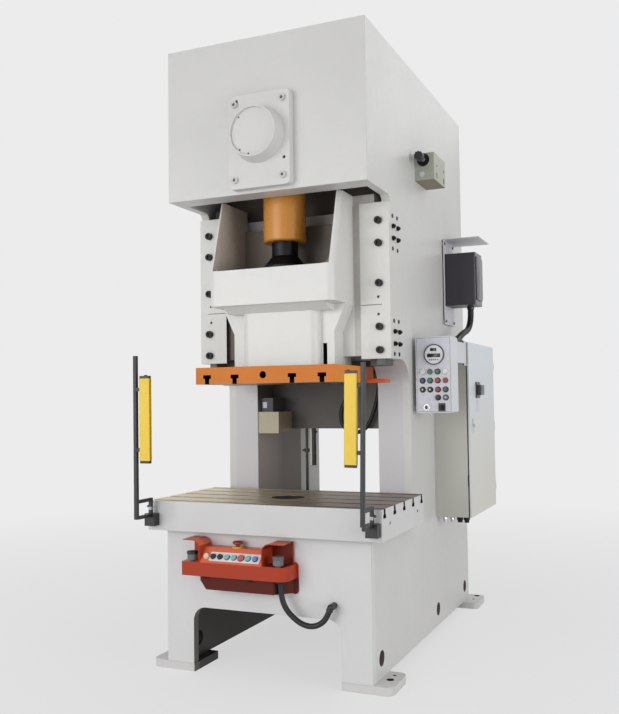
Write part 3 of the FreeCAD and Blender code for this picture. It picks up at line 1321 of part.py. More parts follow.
def drive_belts():
    belts = []
    middle = FLYWHEEL_Y + FLYWHEEL_W / 2
    for i in range(BELT_COUNT):
        y = middle + (i - (BELT_COUNT - 1) / 2) * BELT_PITCH - BELT_W / 2
        outer = belt_loop(y, BELT_H).extrude(vec(0, BELT_W, 0))
        inner = belt_loop(y, 0.0).extrude(vec(0, BELT_W, 0))
        belts.append(outer.cut(inner))
    return group(belts)


# ---- valve unit -------------------------------------------------------------------------
def valve_box():
    """Cover of the air valves, open towards the frame, with the knob's seat and a lens."""
    x1 = FRAME_HALF_W + VALVE_W
    y1 = VALVE_Y0 + VALVE_L
    z1 = VALVE_Z0 + VALVE_H
    box = block(FRAME_HALF_W, x1, VALVE_Y0, y1, VALVE_Z0, z1)
    inner = block(FRAME_HALF_W - 1, x1 - SHEET_T, VALVE_Y0 + SHEET_T, y1 - SHEET_T,
                  VALVE_Z0 + SHEET_T, z1 - SHEET_T)
    seat = rod(VALVE_KNOB_X, VALVE_Y0, VALVE_KNOB_Z, VALVE_SEAT_R, VALVE_SEAT_H, -Y)
    lens = rod(VALVE_LENS_X, VALVE_Y0, VALVE_LENS_Z, VALVE_LENS_R, 4, -Y)
    parts = [box.cut(inner), seat, lens]
    for y in (VALVE_Y0 + 25, y1 - 25):
        parts.append(rod(x1, y, VALVE_Z0 + 35, VALVE_SCREW_R, 3, X))
    bore_y = VALVE_Y0 - VALVE_SEAT_H - 1
    bore = rod(VALVE_KNOB_X, bore_y, VALVE_KNOB_Z, VALVE_STEM_R + RUN_FIT, VALVE_SEAT_H + SHEET_T + 2, Y)
    return fuse(parts).cut(bore)


def valve_knob():
    y0 = VALVE_Y0 - VALVE_SEAT_H - SEAT_GAP
    stem = rod(VALVE_KNOB_X, y0 - 5, VALVE_KNOB_Z, VALVE_STEM_R, VALVE_SEAT_H + SHEET_T + 15, Y)
    neck = rod(VALVE_KNOB_X, y0 - VALVE_NECK_L, VALVE_KNOB_Z, VALVE_NECK_R, VALVE_NECK_L, Y)
    grip_y = y0 - VALVE_NECK_L - VALVE_GRIP_L
    grip = rod(VALVE_KNOB_X, grip_y, VALVE_KNOB_Z, VALVE_GRIP_R, VALVE_GRIP_L, Y)
    flutes = []
    for i in range(KNOB_FLUTES):
        angle = 2 * math.pi * i / KNOB_FLUTES
        x = VALVE_KNOB_X + (VALVE_GRIP_R + 3) * math.cos(angle)
        z = VALVE_KNOB_Z + (VALVE_GRIP_R + 3) * math.sin(angle)
        flutes.append(rod(x, grip_y - 1, z, 6, VALVE_GRIP_L + 2, Y))
    return fuse([stem, neck, grip.cut(flutes)])


# ---- cabinet ----------------------------------------------------------------------------
def cabinet():
    """Sheet cabinet open on its door side, on spacers, with lugs and pin for the panel's arm."""
    x0 = FRAME_HALF_W + CABINET_STANDOFF
    box = block(x0, CABINET_X1, CABINET_Y0, CABINET_Y1, CABINET_Z0, CABINET_Z1)
    w = CABINET_WALL
    inner = block(x0 + w, CABINET_X1 + 1, CABINET_Y0 + w, CABINET_Y1 - w, CABINET_Z0 + w, CABINET_Z1 - w)
    parts = [box.cut(inner)]
    for y in (CABINET_Y0 + 80, CABINET_Y1 - 80):
        for z in (CABINET_Z0 + 90, CABINET_Z1 - 90):
            parts.append(rod(FRAME_HALF_W, y, z, SPACER_R, CABINET_STANDOFF + 1, X))
    for z in HINGE_Z:
        low = z - HINGE_L / 2
        parts.append(block(CABINET_X1 - 25, CABINET_X1, CABINET_Y1, CABINET_Y1 + 4, low, z - SEAT_GAP))
        parts.append(block(CABINET_X1 - 25, hinge_x() + 3, CABINET_Y1 + 1, CABINET_Y1 + 4, low, z - SEAT_GAP))
        parts.append(block(hinge_x() - 3, hinge_x() + 3, CABINET_Y1 + 1, hinge_y(), low, z - SEAT_GAP))
        parts.append(rod(hinge_x(), hinge_y(), z - HINGE_L / 2, HINGE_R, HINGE_L / 2 - SEAT_GAP, Z))
        parts.append(rod(hinge_x(), hinge_y(), z - HINGE_L / 2, HINGE_PIN_R, HINGE_L - 4, Z))
    lug_y = ARM_PIN_Y - ARM_HUB_R
    for z in (ARM_Z0 - ARM_LUG_T - SEAT_GAP, ARM_Z1 + SEAT_GAP):
        parts.append(block(ARM_X0, CABINET_X1, lug_y, CABINET_Y0 + 1, z, z + ARM_LUG_T))
    pin_z = ARM_Z0 - ARM_LUG_T - SEAT_GAP
    pin_l = ARM_Z1 - ARM_Z0 + 2 * (ARM_LUG_T + SEAT_GAP)
    parts.append(rod(arm_x(), ARM_PIN_Y, pin_z, ARM_PIN_R, pin_l + 6, Z))
    end = CONDUIT_ROUTE[-1]
    parts.append(conduit_fitting())
    parts.append(rod(end[0], end[1], CABINET_Z1 - 1, GLAND_R, 2, Z))
    return fuse(parts)


def arm_x():
    return (ARM_X0 + ARM_X1) / 2


def hinge_x():
    return CABINET_X1 + DOOR_GAP + DOOR_T / 2


def hinge_y():
    return CABINET_Y1 + HINGE_R + 2


def conduit_fitting():
    """Elbow body on the cabinet's top that the conduit's lower end butts against."""
    end = vec(*CONDUIT_ROUTE[-1])
    before = vec(*CONDUIT_ROUTE[-2])
    axis = end - before
    axis.normalize()
    length = (end.z - CABINET_Z1) / -axis.z + 12
    body = Part.makeCylinder(GLAND_R, length, end, axis)
    reach = CROWN_TOP_Z
    return body.common(block(-reach, reach, -reach, reach, CABINET_Z1 - 1, reach))


def cabinet_door():
    """Door with a folded rim, hinge barrels, the isolator's plate and the lock."""
    x0 = CABINET_X1 + DOOR_GAP
    x1 = x0 + DOOR_T
    outer = block(x0, x1, CABINET_Y0, CABINET_Y1, CABINET_Z0, CABINET_Z1)
    s = SHEET_T
    inner = block(x0 - 1, x1 - s, CABINET_Y0 + s, CABINET_Y1 - s, CABINET_Z0 + s, CABINET_Z1 - s)
    parts = [outer.cut(inner)]
    for z in HINGE_Z:
        parts.append(block(hinge_x() - 3, hinge_x() + 3, CABINET_Y1 - 1, hinge_y(), z + SEAT_GAP, z + HINGE_L / 2))
        parts.append(rod(hinge_x(), hinge_y(), z + SEAT_GAP, HINGE_R, HINGE_L / 2 - SEAT_GAP, Z))
    half = ISOLATOR_PLATE / 2
    parts.append(block(x1 - 1, x1 + ISOLATOR_PLATE_T, ISOLATOR_Y - half, ISOLATOR_Y + half,
                       ISOLATOR_Z - half, ISOLATOR_Z + half))
    parts.append(rod(x1 - 1, LOCK_Y, LOCK_Z, LOCK_R, LOCK_H + 1, X))
    parts.append(block(x1 - 1, x1 + 5, LOCK_Y - 14, LOCK_Y + 14, LOCK_Z - 45, LOCK_Z + 45))
    tools = [rod(x0 - 1, ISOLATOR_Y, ISOLATOR_Z, ISOLATOR_STEM_R + RUN_FIT, DOOR_T + ISOLATOR_PLATE_T + 2, X)]
    for z in HINGE_Z:
        tools.append(rod(hinge_x(), hinge_y(), z - HINGE_L, HINGE_PIN_R + RUN_FIT, 2 * HINGE_L, Z))
    return cut(fuse(parts), tools)


def isolator_handle():
    x0 = CABINET_X1 + DOOR_GAP + DOOR_T + ISOLATOR_PLATE_T + SEAT_GAP
    disc = rod(x0, ISOLATOR_Y, ISOLATOR_Z, ISOLATOR_DISC_R, ISOLATOR_DISC_H, X)
    grip = block(x0, x0 + ISOLATOR_GRIP_H, ISOLATOR_Y - ISOLATOR_GRIP_W / 2, ISOLATOR_Y + ISOLATOR_GRIP_W / 2,
                 ISOLATOR_Z - ISOLATOR_DISC_R + 3, ISOLATOR_Z + ISOLATOR_DISC_R - 3)
    stem = rod(x0 - ISOLATOR_PLATE_T - DOOR_T, ISOLATOR_Y, ISOLATOR_Z, ISOLATOR_STEM_R,
               ISOLATOR_PLATE_T + DOOR_T + 5, X)
    return fuse([disc, grip, stem])


def cabinet_gear():
    """Mounting plate with contactors, drive unit, transformer and terminal rail."""
    x0 = FRAME_HALF_W + CABINET_STANDOFF + CABINET_WALL
    y0 = CABINET_Y0 + GEAR_PLATE_EDGE_Y
    y1 = CABINET_Y1 - GEAR_PLATE_EDGE_Y
    z0 = CABINET_Z0 + GEAR_PLATE_EDGE_Z
    z1 = CABINET_Z1 - GEAR_PLATE_EDGE_Z
    plate_x = x0 + GEAR_PLATE_GAP
    parts = [block(plate_x, plate_x + GEAR_PLATE_T, y0, y1, z0, z1)]
    for y in (y0 + GEAR_STUD_EDGE, y1 - GEAR_STUD_EDGE):
        for z in (z0 + GEAR_STUD_EDGE, z1 - GEAR_STUD_EDGE):
            parts.append(rod(x0, y, z, GEAR_STUD_R, GEAR_PLATE_GAP + 1, X))
    face = plate_x + GEAR_PLATE_T
    for drop, depth in ((UPPER_ROW_DROP, UPPER_ROW_D), (LOWER_ROW_DROP, LOWER_ROW_D)):
        top = z1 - drop
        for i in range(CONTACTORS):
            y = y0 + CONTACTOR_EDGE + i * CONTACTOR_PITCH
            parts.append(block(face - 1, face + depth, y, y + CONTACTOR_W, top - CONTACTOR_H, top))
    edge, width, height, depth = TRANSFORMER
    parts.append(block(face - 1, face + depth, y0 + edge, y0 + edge + width, z0 + edge, z0 + edge + height))
    edge, width, height, depth = DRIVE_UNIT
    parts.append(block(face - 1, face + depth, y1 - edge - width, y1 - edge, z0 + edge, z0 + edge + height))
    parts.append(block(face - 1, face + RAIL_D, y0 + CONTACTOR_EDGE, y1 - CONTACTOR_EDGE,
                       z0 + RAIL_UP, z0 + RAIL_UP + RAIL_H))
    return fuse(parts)


# ---- operator panel ---------------------------------------------------------------------
def panel_box():
    """Shallow box, open at the back, whose front carries gauge, lamps and fixed buttons."""
    box = rounded_plate(PANEL_X0, PANEL_X1, PANEL_Y0, PANEL_Y1, PANEL_Z0, PANEL_Z1, PANEL_CORNER_R)
    w = PANEL_WALL
    inner = rounded_plate(PANEL_X0 + w, PANEL_X1 - w, PANEL_Y0 + w, PANEL_Y1 + 1,
                          PANEL_Z0 + w, PANEL_Z1 - w, PANEL_CORNER_R - w + 1)
    parts = [box.cut(inner)]
    parts.append(rod(GAUGE_X, PANEL_Y0 + 1, GAUGE_Z, GAUGE_R, GAUGE_H + 1, -Y))
    for place in panel_places():
        x, z = place
        if place in (START_PLACE, STOP_PLACE):
            bezel_r = PANEL_BUTTON_R + PANEL_BEZEL
            parts.append(ring(x, PANEL_Y0 + 1, z, bezel_r, PANEL_BUTTON_R + SEAT_GAP, PANEL_BEZEL_H + 1, -Y))
        else:
            parts.append(rod(x, PANEL_Y0 + 1, z, PANEL_BUTTON_R, PANEL_BUTTON_H + 1, -Y))
    for x in (PANEL_KNOB_X, PANEL_KEY_X):
        parts.append(rod(x, PANEL_Y0 + 1, PANEL_LOW_Z, PANEL_BUTTON_R + PANEL_BEZEL, PANEL_BEZEL_H + 1, -Y))
    face = fuse(parts)
    recess = rod(GAUGE_X, PANEL_Y0 - GAUGE_H - 1, GAUGE_Z, GAUGE_R - GAUGE_RIM, GAUGE_RECESS + 1, Y)
    tools = [recess]
    for x, z in (START_PLACE, STOP_PLACE):
        tools.append(rod(x, PANEL_Y0 - 1, z, PANEL_BUTTON_R + SEAT_GAP, w + 2, Y))
        tools.append(rod(x, PANEL_Y0 - 10, z, PANEL_BUTTON_R + SEAT_GAP, 15, Y))
    for x in (PANEL_KNOB_X, PANEL_KEY_X):
        tools.append(rod(x, PANEL_Y0 - 10, PANEL_LOW_Z, PANEL_STEM_R + RUN_FIT, w + 12, Y))
    return cut(face, tools)


START_PLACE = (PANEL_COLS[1], PANEL_ROWS[0])
STOP_PLACE = (PANEL_COLS[3], PANEL_ROWS[1])


def panel_places():
    """Places of the round buttons and lamps: three full rows and a short one."""
    places = []
    for z in PANEL_ROWS[:3]:
        for x in PANEL_COLS:
            places.append((x, z))
    for x in PANEL_COLS[2:]:
        places.append((x, PANEL_ROWS[3]))
    return places


def panel_button(place):
    """Push button with a retaining collar behind the panel's front."""
    x, z = place
    head = rod(x, PANEL_Y0 - PANEL_BUTTON_H, z, PANEL_BUTTON_R, PANEL_BUTTON_H + PANEL_WALL + PANEL_TRAVEL, Y)
    collar = rod(x, PANEL_Y0 + PANEL_WALL + SEAT_GAP, z, PANEL_BUTTON_R + 4, 4, Y)
    return fuse([head, collar])


def panel_knob():
    """Selector with a raised bar."""
    y = PANEL_Y0 - PANEL_BEZEL_H - SEAT_GAP
    stem = rod(PANEL_KNOB_X, y - 2, PANEL_LOW_Z, PANEL_STEM_R, PANEL_WALL + 14, Y)
    disc = rod(PANEL_KNOB_X, y - 8, PANEL_LOW_Z, PANEL_BUTTON_R, 8, Y)
    bar = block(PANEL_KNOB_X - 4, PANEL_KNOB_X + 4, y - 18, y - 7, PANEL_LOW_Z - 13, PANEL_LOW_Z + 13)
    return fuse([stem, disc, bar])


def panel_key():
    """Key barrel with the key's flat bow."""
    y = PANEL_Y0 - PANEL_BEZEL_H - SEAT_GAP
    stem = rod(PANEL_KEY_X, y - 4, PANEL_LOW_Z, PANEL_STEM_R, PANEL_WALL + 16, Y)
    barrel = rod(PANEL_KEY_X, y - 6, PANEL_LOW_Z, 9, 6, Y)
    blade = block(PANEL_KEY_X - 1.5, PANEL_KEY_X + 1.5, y - 14, y - 5, PANEL_LOW_Z - 4, PANEL_LOW_Z + 4)
    bow = block(PANEL_KEY_X - 1.5, PANEL_KEY_X + 1.5, y - 32, y - 13, PANEL_LOW_Z - 11, PANEL_LOW_Z + 11)
    return fuse([stem, barrel, blade, bow])


def panel_arm():
    """Square tube from the pivot to a lid on the back of the panel box."""
    tube = block(ARM_X0, ARM_X1, PANEL_Y1 + 4, ARM_PIN_Y, ARM_Z0, ARM_Z1)
    w = ARM_WALL
    hollow = block(ARM_X0 + w, ARM_X1 - w, PANEL_Y1 + 10, ARM_PIN_Y - ARM_HUB_R, ARM_Z0 + w, ARM_Z1 - w)
    hub = rod(arm_x(), ARM_PIN_Y, ARM_Z0, ARM_HUB_R, ARM_Z1 - ARM_Z0, Z)
    back = block(PANEL_X0, PANEL_X1, PANEL_Y1, PANEL_Y1 + 5, PANEL_Z0, PANEL_Z1)

    def corner(edge):
        return runs_along_y(edge)

    lid = round_edges(back, PANEL_CORNER_R, corner)
    body = fuse([tube.cut(hollow), hub, lid])
    return body.cut(rod(arm_x(), ARM_PIN_Y, ARM_Z0 - 1, ARM_PIN_R + RUN_FIT, ARM_Z1 - ARM_Z0 + 2, Z))


# ---- inverter ---------------------------------------------------------------------------
def inverter_bracket():
    """Plate that stands off the frame's side, with its screws and a roof over the inverter."""
    x0 = FRAME_HALF_W + BRACKET_STANDOFF
    x1 = x0 + BRACKET_T
    parts = [block(x0, x1, BRACKET_Y0, BRACKET_Y1, BRACKET_Z0, ROOF_Z)]
    parts.append(block(FRAME_HALF_W, ROOF_X1, BRACKET_Y0, ROOF_Y1, ROOF_Z - BRACKET_T, ROOF_Z))
    edge = BRACKET_SCREW_EDGE
    for y in (BRACKET_Y0 + edge, BRACKET_Y1 - edge):
        for z in (BRACKET_Z0 + edge, ROOF_Z - BRACKET_T - edge):
            parts.append(rod(FRAME_HALF_W, y, z, BRACKET_FOOT_R, BRACKET_STANDOFF + 1, X))
            parts.append(rod(x1 - 1, y, z, BRACKET_SCREW_R, BRACKET_SCREW_H + 1, X))
    return fuse(parts)


def inverter_box():
    """Housing with ribs on its outer face, a step round its lower part, and a cable gland below."""
    box = block(INVERTER_X0, INVERTER_X1, INVERTER_Y0, INVERTER_Y1, INVERTER_Z0, INVERTER_Z1)

    def vertical(edge):
        return is_upright(edge)

    box = round_edges(box, INVERTER_CORNER_R, vertical)
    start = CONDUIT_ROUTE[0]
    gland = rod(start[0], start[1], start[2], GLAND_R, INVERTER_Z0 - start[2] + 1, Z)
    tools = []
    for i in range(INVERTER_VENTS):
        y = INVERTER_Y0 + 35 + i * INVERTER_VENT_PITCH
        tools.append(block(INVERTER_X0 + 40, INVERTER_X1 - 40, y, y + 8, INVERTER_Z1 - 6, INVERTER_Z1 + 1))
    return cut(fuse([box, gland]), tools)


def conduit():
    return tube_along(CONDUIT_ROUTE, CONDUIT_D, "conduit")


# ---- console ----------------------------------------------------------------------------
def console_band(inset):
    """Low box with rounded front corners, shrunk by the inset on every side but the back."""
    x0 = CONSOLE_X - CONSOLE_HALF_W + inset
    x1 = CONSOLE_X + CONSOLE_HALF_W - inset
    y0 = CONSOLE_FRONT_Y + inset
    band = block(x0, x1, y0, CONSOLE_BACK_Y, CONSOLE_Z0 + inset, CONSOLE_Z1 - inset)

    def right_front(edge):
        point = edge.Vertexes[0].Point
        return is_upright(edge) and point.x > x1 - 1 and point.y < y0 + 1

    def left_front(edge):
        point = edge.Vertexes[0].Point
        return is_upright(edge) and point.x < x0 + 1 and point.y < y0 + 1

    band = round_edges(band, CONSOLE_CORNER_R - inset, right_front)
    return round_edges(band, CONSOLE_LEFT_R - inset, left_front)


def console_middle(inset):
    """Raised middle of the console, shrunk by the inset on every free side."""
    half = CONSOLE_MID_HALF_W - inset
    x = CONSOLE_MID_X - half
    y = CONSOLE_FRONT_Y + CONSOLE_LIP + inset
    low = CONSOLE_Z1 - 1 - inset
    profile = [
        vec(x, y, low),
        vec(x, y, CONSOLE_Z1 - inset * 0.5),
        vec(x, CONSOLE_SLOPE_Y + inset * 0.5, CONSOLE_MID_Z - inset),
        vec(x, CONSOLE_BACK_Y, CONSOLE_MID_Z - inset),
        vec(x, CONSOLE_BACK_Y, low),
    ]
    return prism(profile, vec(2 * half, 0, 0))


def guard_outline(side, inset):
    """Upper outline of a guard: up beside the middle, round the corner, out to the tip."""
    t = inset
    root = CONSOLE_MID_X + side * (CONSOLE_MID_HALF_W - CONSOLE_WALL + t)
    tip = GUARD_TIP_X[0] if side < 0 else GUARD_TIP_X[1]
    y = GUARD_FRONT_Y
    low = CONSOLE_Z1 - CONSOLE_WALL
    top = GUARD_TOP_Z - t
    r = GUARD_R - t
    bend = vec(root + side * r * (1 - ROOT_HALF), y, top - r * (1 - ROOT_HALF))
    edges = [
        Part.makeLine(vec(root, y, low), vec(root, y, top - r)),
        Part.Arc(vec(root, y, top - r), bend, vec(root + side * r, y, top)).toShape(),
        Part.makeLine(vec(root + side * r, y, top), vec(tip, y, top)),
    ]
    edges.append(Part.makeLine(vec(tip, y, top), vec(tip, y, low)))
    edges.append(Part.makeLine(vec(tip, y, low), vec(root, y, low)))
    return Part.Face(Part.Wire(edges))


def console_guard(side):
    """Sheet that rises beside the middle, curls outward over the palm button, and a back sheet."""
    depth = CONSOLE_BACK_Y - GUARD_FRONT_Y
    outer = guard_outline(side, 0.0).extrude(vec(0, depth, 0))
    inner = guard_outline(side, CONSOLE_WALL).extrude(vec(0, depth - CONSOLE_WALL, 0))
    return outer.cut(inner)


def tray_solid(inset):
    """Tray under the band: slanted ends, flat bottom."""
    y0 = TRAY_FRONT_Y + inset
    y1 = CONSOLE_BACK_Y
    z0 = TRAY_Z0 + inset
    z1 = CONSOLE_Z0 + inset
    left = TRAY_X[0] + inset
    right = TRAY_X[1] - inset
    plan = [
        vec(left - TRAY_LEFT_SKEW, y0, z0),
        vec(right, y0, z0),
        vec(right + TRAY_RIGHT_SKEW, y1, z0),
        vec(left - TRAY_LEFT_SKEW, y1, z0),
    ]
    body = prism(plan, vec(0, 0, z1 - z0))
    wedge = prism([
        vec(left - TRAY_LEFT_SKEW - 1, y0 - 1, z0 - 1),
        vec(left, y0 - 1, z0 - 1),
        vec(left - TRAY_LEFT_SKEW - 1, y0 - 1, z0 + TRAY_LEFT_RISE),
    ], vec(0, y1 - y0 + 2, 0))
    return body.cut(wedge)


def console():
    """Two-hand control console: folded sheet box, tray, guards, fixed buttons and strap."""
    t = CONSOLE_WALL
    body = fuse([console_band(0.0), console_middle(0.0)])
    body = cut(body, [console_band(t), console_middle(t)])
    tray = tray_solid(0.0)
    reach = CROWN_TOP_Z
    tray_hollow = tray_solid(t).common(block(-reach, reach, -reach, CONSOLE_BACK_Y, 0, CONSOLE_Z0))
    tray = tray.cut(tray_hollow)
    parts = [body, tray, console_guard(-1), console_guard(1)]
    wall_gap = BASE_FRONT_Y - CONSOLE_BACK_Y
    half = STRAP_W / 2
    strap = block(STRAP_X - half, STRAP_X + half, CONSOLE_BACK_Y, BASE_FRONT_Y, STRAP_Z[0], STRAP_Z[1])
    strap_ends = [rod(STRAP_X, CONSOLE_BACK_Y, z, half, wall_gap, Y) for z in STRAP_Z]
    left_strap = CONSOLE_X - CONSOLE_HALF_W + half
    rail = block(left_strap - half, left_strap + half, CONSOLE_BACK_Y, BASE_FRONT_Y, CONSOLE_Z0, CONSOLE_Z1)
    parts += [strap] + strap_ends + [rail]
    slope = vec(0, CONSOLE_SLOPE_Y - CONSOLE_FRONT_Y - CONSOLE_LIP, CONSOLE_MID_Z - CONSOLE_Z1)
    normal = vec(0, -slope.z, slope.y)
    normal.normalize()
    for i in range(CONSOLE_BUTTONS):
        x = CONSOLE_BUTTON_X0 + i * CONSOLE_BUTTON_PITCH
        foot = vec(x, CONSOLE_FRONT_Y + CONSOLE_LIP, CONSOLE_Z1) + slope * CONSOLE_BUTTON_UP - normal * 1.5
        parts.append(Part.makeCylinder(CONSOLE_BUTTON_R, CONSOLE_BUTTON_H, foot, normal))
    parts.append(rod(CONSOLE_MID_X, STOP_Y, CONSOLE_MID_Z - 1, STOP_BASE_R, 7, Z))
    gland = CABLE_ROUTE[0]
    parts.append(rod(gland[0], gland[1], gland[2], GLAND_R, CONSOLE_Z0 - gland[2] + 1, Z))
    for x in TRAY_KNOB_X:
        parts.append(rod(x, TRAY_FRONT_Y - TRAY_KNOB_R - 3, CONSOLE_Z0 + 1, TRAY_KNOB_R, TRAY_KNOB_H + 1, -Z))
    whole = fuse(parts)
    tools = [rod(CONSOLE_MID_X, STOP_Y, CONSOLE_MID_Z - 2 * t, STOP_STEM_R + SEAT_GAP, 20, Z)]
    for x in PALM_X:
        tools.append(rod(x, PALM_Y, CONSOLE_Z1 - 2 * t, PALM_STEM_R + SEAT_GAP, 20, Z))
    return cut(whole, tools)


def palm_button(x):
    """Wide cap on a body; its stem passes the console's top and ends in a collar."""
    base = CONSOLE_Z1 + PALM_TRAVEL + 1
    stem = rod(x, PALM_Y, CONSOLE_Z1 - CONSOLE_WALL - 12, PALM_STEM_R, 12 + CONSOLE_WALL + PALM_TRAVEL + 2, Z)
    body = rod(x, PALM_Y, base, PALM_R * 0.8, PALM_BODY_H, Z)
    cap = rod(x, PALM_Y, base + PALM_BODY_H - 1, PALM_R, PALM_CAP_H, Z)
    collar = rod(x, PALM_Y, CONSOLE_Z1 - CONSOLE_WALL - 12, PALM_STEM_R + 4, 12 - SEAT_GAP, Z)
    return fuse([stem, body, cap, collar])


def console_stop():
    """Mushroom button, pushed down to stop the press."""
    x = CONSOLE_MID_X
    base = CONSOLE_MID_Z + 6
    low = CONSOLE_MID_Z - CONSOLE_WALL - 10
    stem = rod(x, STOP_Y, low, STOP_STEM_R, 34, Z)
    cap = Part.makeCone(STOP_R * 0.6, STOP_R, 8, vec(x, STOP_Y, base + 10), Z)
    top = rod(x, STOP_Y, base + 18, STOP_R, 8, Z)
    collar = rod(x, STOP_Y, low, STOP_STEM_R + 4, 10 - SEAT_GAP, Z)
    return fuse([stem, cap, top, collar])


def console_cable():
    return tube_along(CABLE_ROUTE, CABLE_D, "console cable")


# ---- light curtain ----------------------------------------------------------------------
def lean(shape, side):
    """Tilt a post or a light bar outward at the top, round the foot of its arm."""
    angle = POST_LEAN[0] if side < 0 else POST_LEAN[1]
    shape.rotate(vec(side * POST_X, POST_Y, ARM_LOW_Z), Y, side * angle)
    return shape


def curtain_arm(side):
    """Clamp block on the bolster, L-shaped arm, upright post and the tie bars of the light bar."""
    x = side * POST_X
    z_low, z_high = POST_Z[0] if side < 0 else POST_Z[1]
    front = -BOLSTER_HALF_Y - CLAMP_D
    half = POST_W / 2
    a = ARM_ROD / 2
    clamp = block(x - CLAMP_W / 2, x + CLAMP_W / 2, front, front + CLAMP_D, CLAMP_Z0, CLAMP_Z1)
    riser = block(x - a, x + a, front + 5, front + 5 + ARM_ROD, CLAMP_Z1 - 1, ARM_TOP_Z)
    bolt_z = ARM_TOP_Z - ARM_ROD - 30
    bolt = rod(x, front + 5 + a, bolt_z, RISER_BOLT_R, a + 12, X * side)
    upper = block(x - a, x + a, POST_Y + half - 2, front + 10, ARM_TOP_Z - ARM_ROD, ARM_TOP_Z)
    lower = block(x - a, x + a, POST_Y + half - 2, front + 1, ARM_LOW_Z - 2 * a, ARM_LOW_Z)
    post = rounded_block(x - half, x + half, POST_Y - half, POST_Y + half, z_low, z_high, POST_CORNER_R)
    leaning = [post]
    inner = side * (BAR_X + BAR_W / 2)
    for z in (BAR_Z0 + TIE_IN, BAR_Z1 - TIE_IN):
        leaning.append(block(inner, side * (POST_X - half + 1), POST_Y - TIE_T, POST_Y + TIE_T, z - TIE_T, z + TIE_T))
    return fuse([clamp, riser, bolt, upper, lower] + [lean(shape, side) for shape in leaning])


def light_bar(side):
    """Flat profile with a window groove along its inner face and end caps."""
    x = side * BAR_X
    y0 = POST_Y - BAR_D / 2
    y1 = POST_Y + BAR_D / 2
    bar = rounded_block(x - BAR_W / 2, x + BAR_W / 2, y0, y1, BAR_Z0, BAR_Z1, BAR_CORNER_R)
    inner = x - side * BAR_W / 2
    groove = block(inner, inner + side * BAR_GROOVE_DEPTH, y0 + BAR_GROOVE_LIP, y1 - BAR_GROOVE_LIP,
                   BAR_Z0 + BAR_GROOVE_END, BAR_Z1 - BAR_GROOVE_END)
    inset = BAR_CAP_INSET
    parts = [bar.cut(groove)]
    for z in (BAR_Z0 - BAR_CAP, BAR_Z1 - 1):
        parts.append(block(x - BAR_W / 2 + inset, x + BAR_W / 2 - inset, y0 + inset, y1 - inset, z, z + BAR_CAP + 1))
    return lean(fuse(parts), side)


# ---- fittings in the throat -------------------------------------------------------------
def throat_box():
    """Junction box in the throat's left corner with a sensor on top."""
    x0 = -COLUMN_IN_X
    box = block(x0, x0 + THROAT_BOX_W, THROAT_BOX_Y0, BEAM_Y, THROAT_BOX_Z0, THROAT_BOX_Z1)
    sensor = block(x0, x0 + SENSOR_W, THROAT_BOX_Y0 + SENSOR_SETBACK, BEAM_Y, THROAT_BOX_Z1 - 1, SENSOR_Z1)
    return fuse([box, sensor])


def guide_rod():
    """Upright rod between bed and beam with a cross collar, and a short round hanger beside it."""
    y = BEAM_Y + BEAM_T / 2
    shaft = rod(GUIDE_ROD_X, y, BED_Z, GUIDE_ROD_R, BEAM_BOTTOM_Z - BED_Z, Z)
    collar = rod(GUIDE_ROD_X, y, ROD_COLLAR_Z, GUIDE_ROD_R * 2, ROD_COLLAR_H, Z)
    middle = ROD_COLLAR_Z + ROD_COLLAR_H / 2
    bar = block(GUIDE_ROD_X - ROD_BAR_LEFT, GUIDE_ROD_X + ROD_BAR_RIGHT, y - ROD_BAR_T / 2, y + ROD_BAR_T / 2,
                middle - ROD_BAR_H / 2, middle + ROD_BAR_H / 2)
    hanger = rod(HANGER_X, y, HANGER_BOTTOM_Z, HANGER_R, BEAM_BOTTOM_Z - HANGER_BOTTOM_Z, Z)
    screw = rod(HANGER_X, y, BEAM_BOTTOM_Z - HANGER_SCREW_DROP, HANGER_SCREW_R, HANGER_R + HANGER_SCREW_OUT, X)
    return group([fuse([shaft, collar, bar]), fuse([hanger, screw])])


def throat_hose():
    return tube_along(HOSE_ROUTE, HOSE_D, "throat hose")


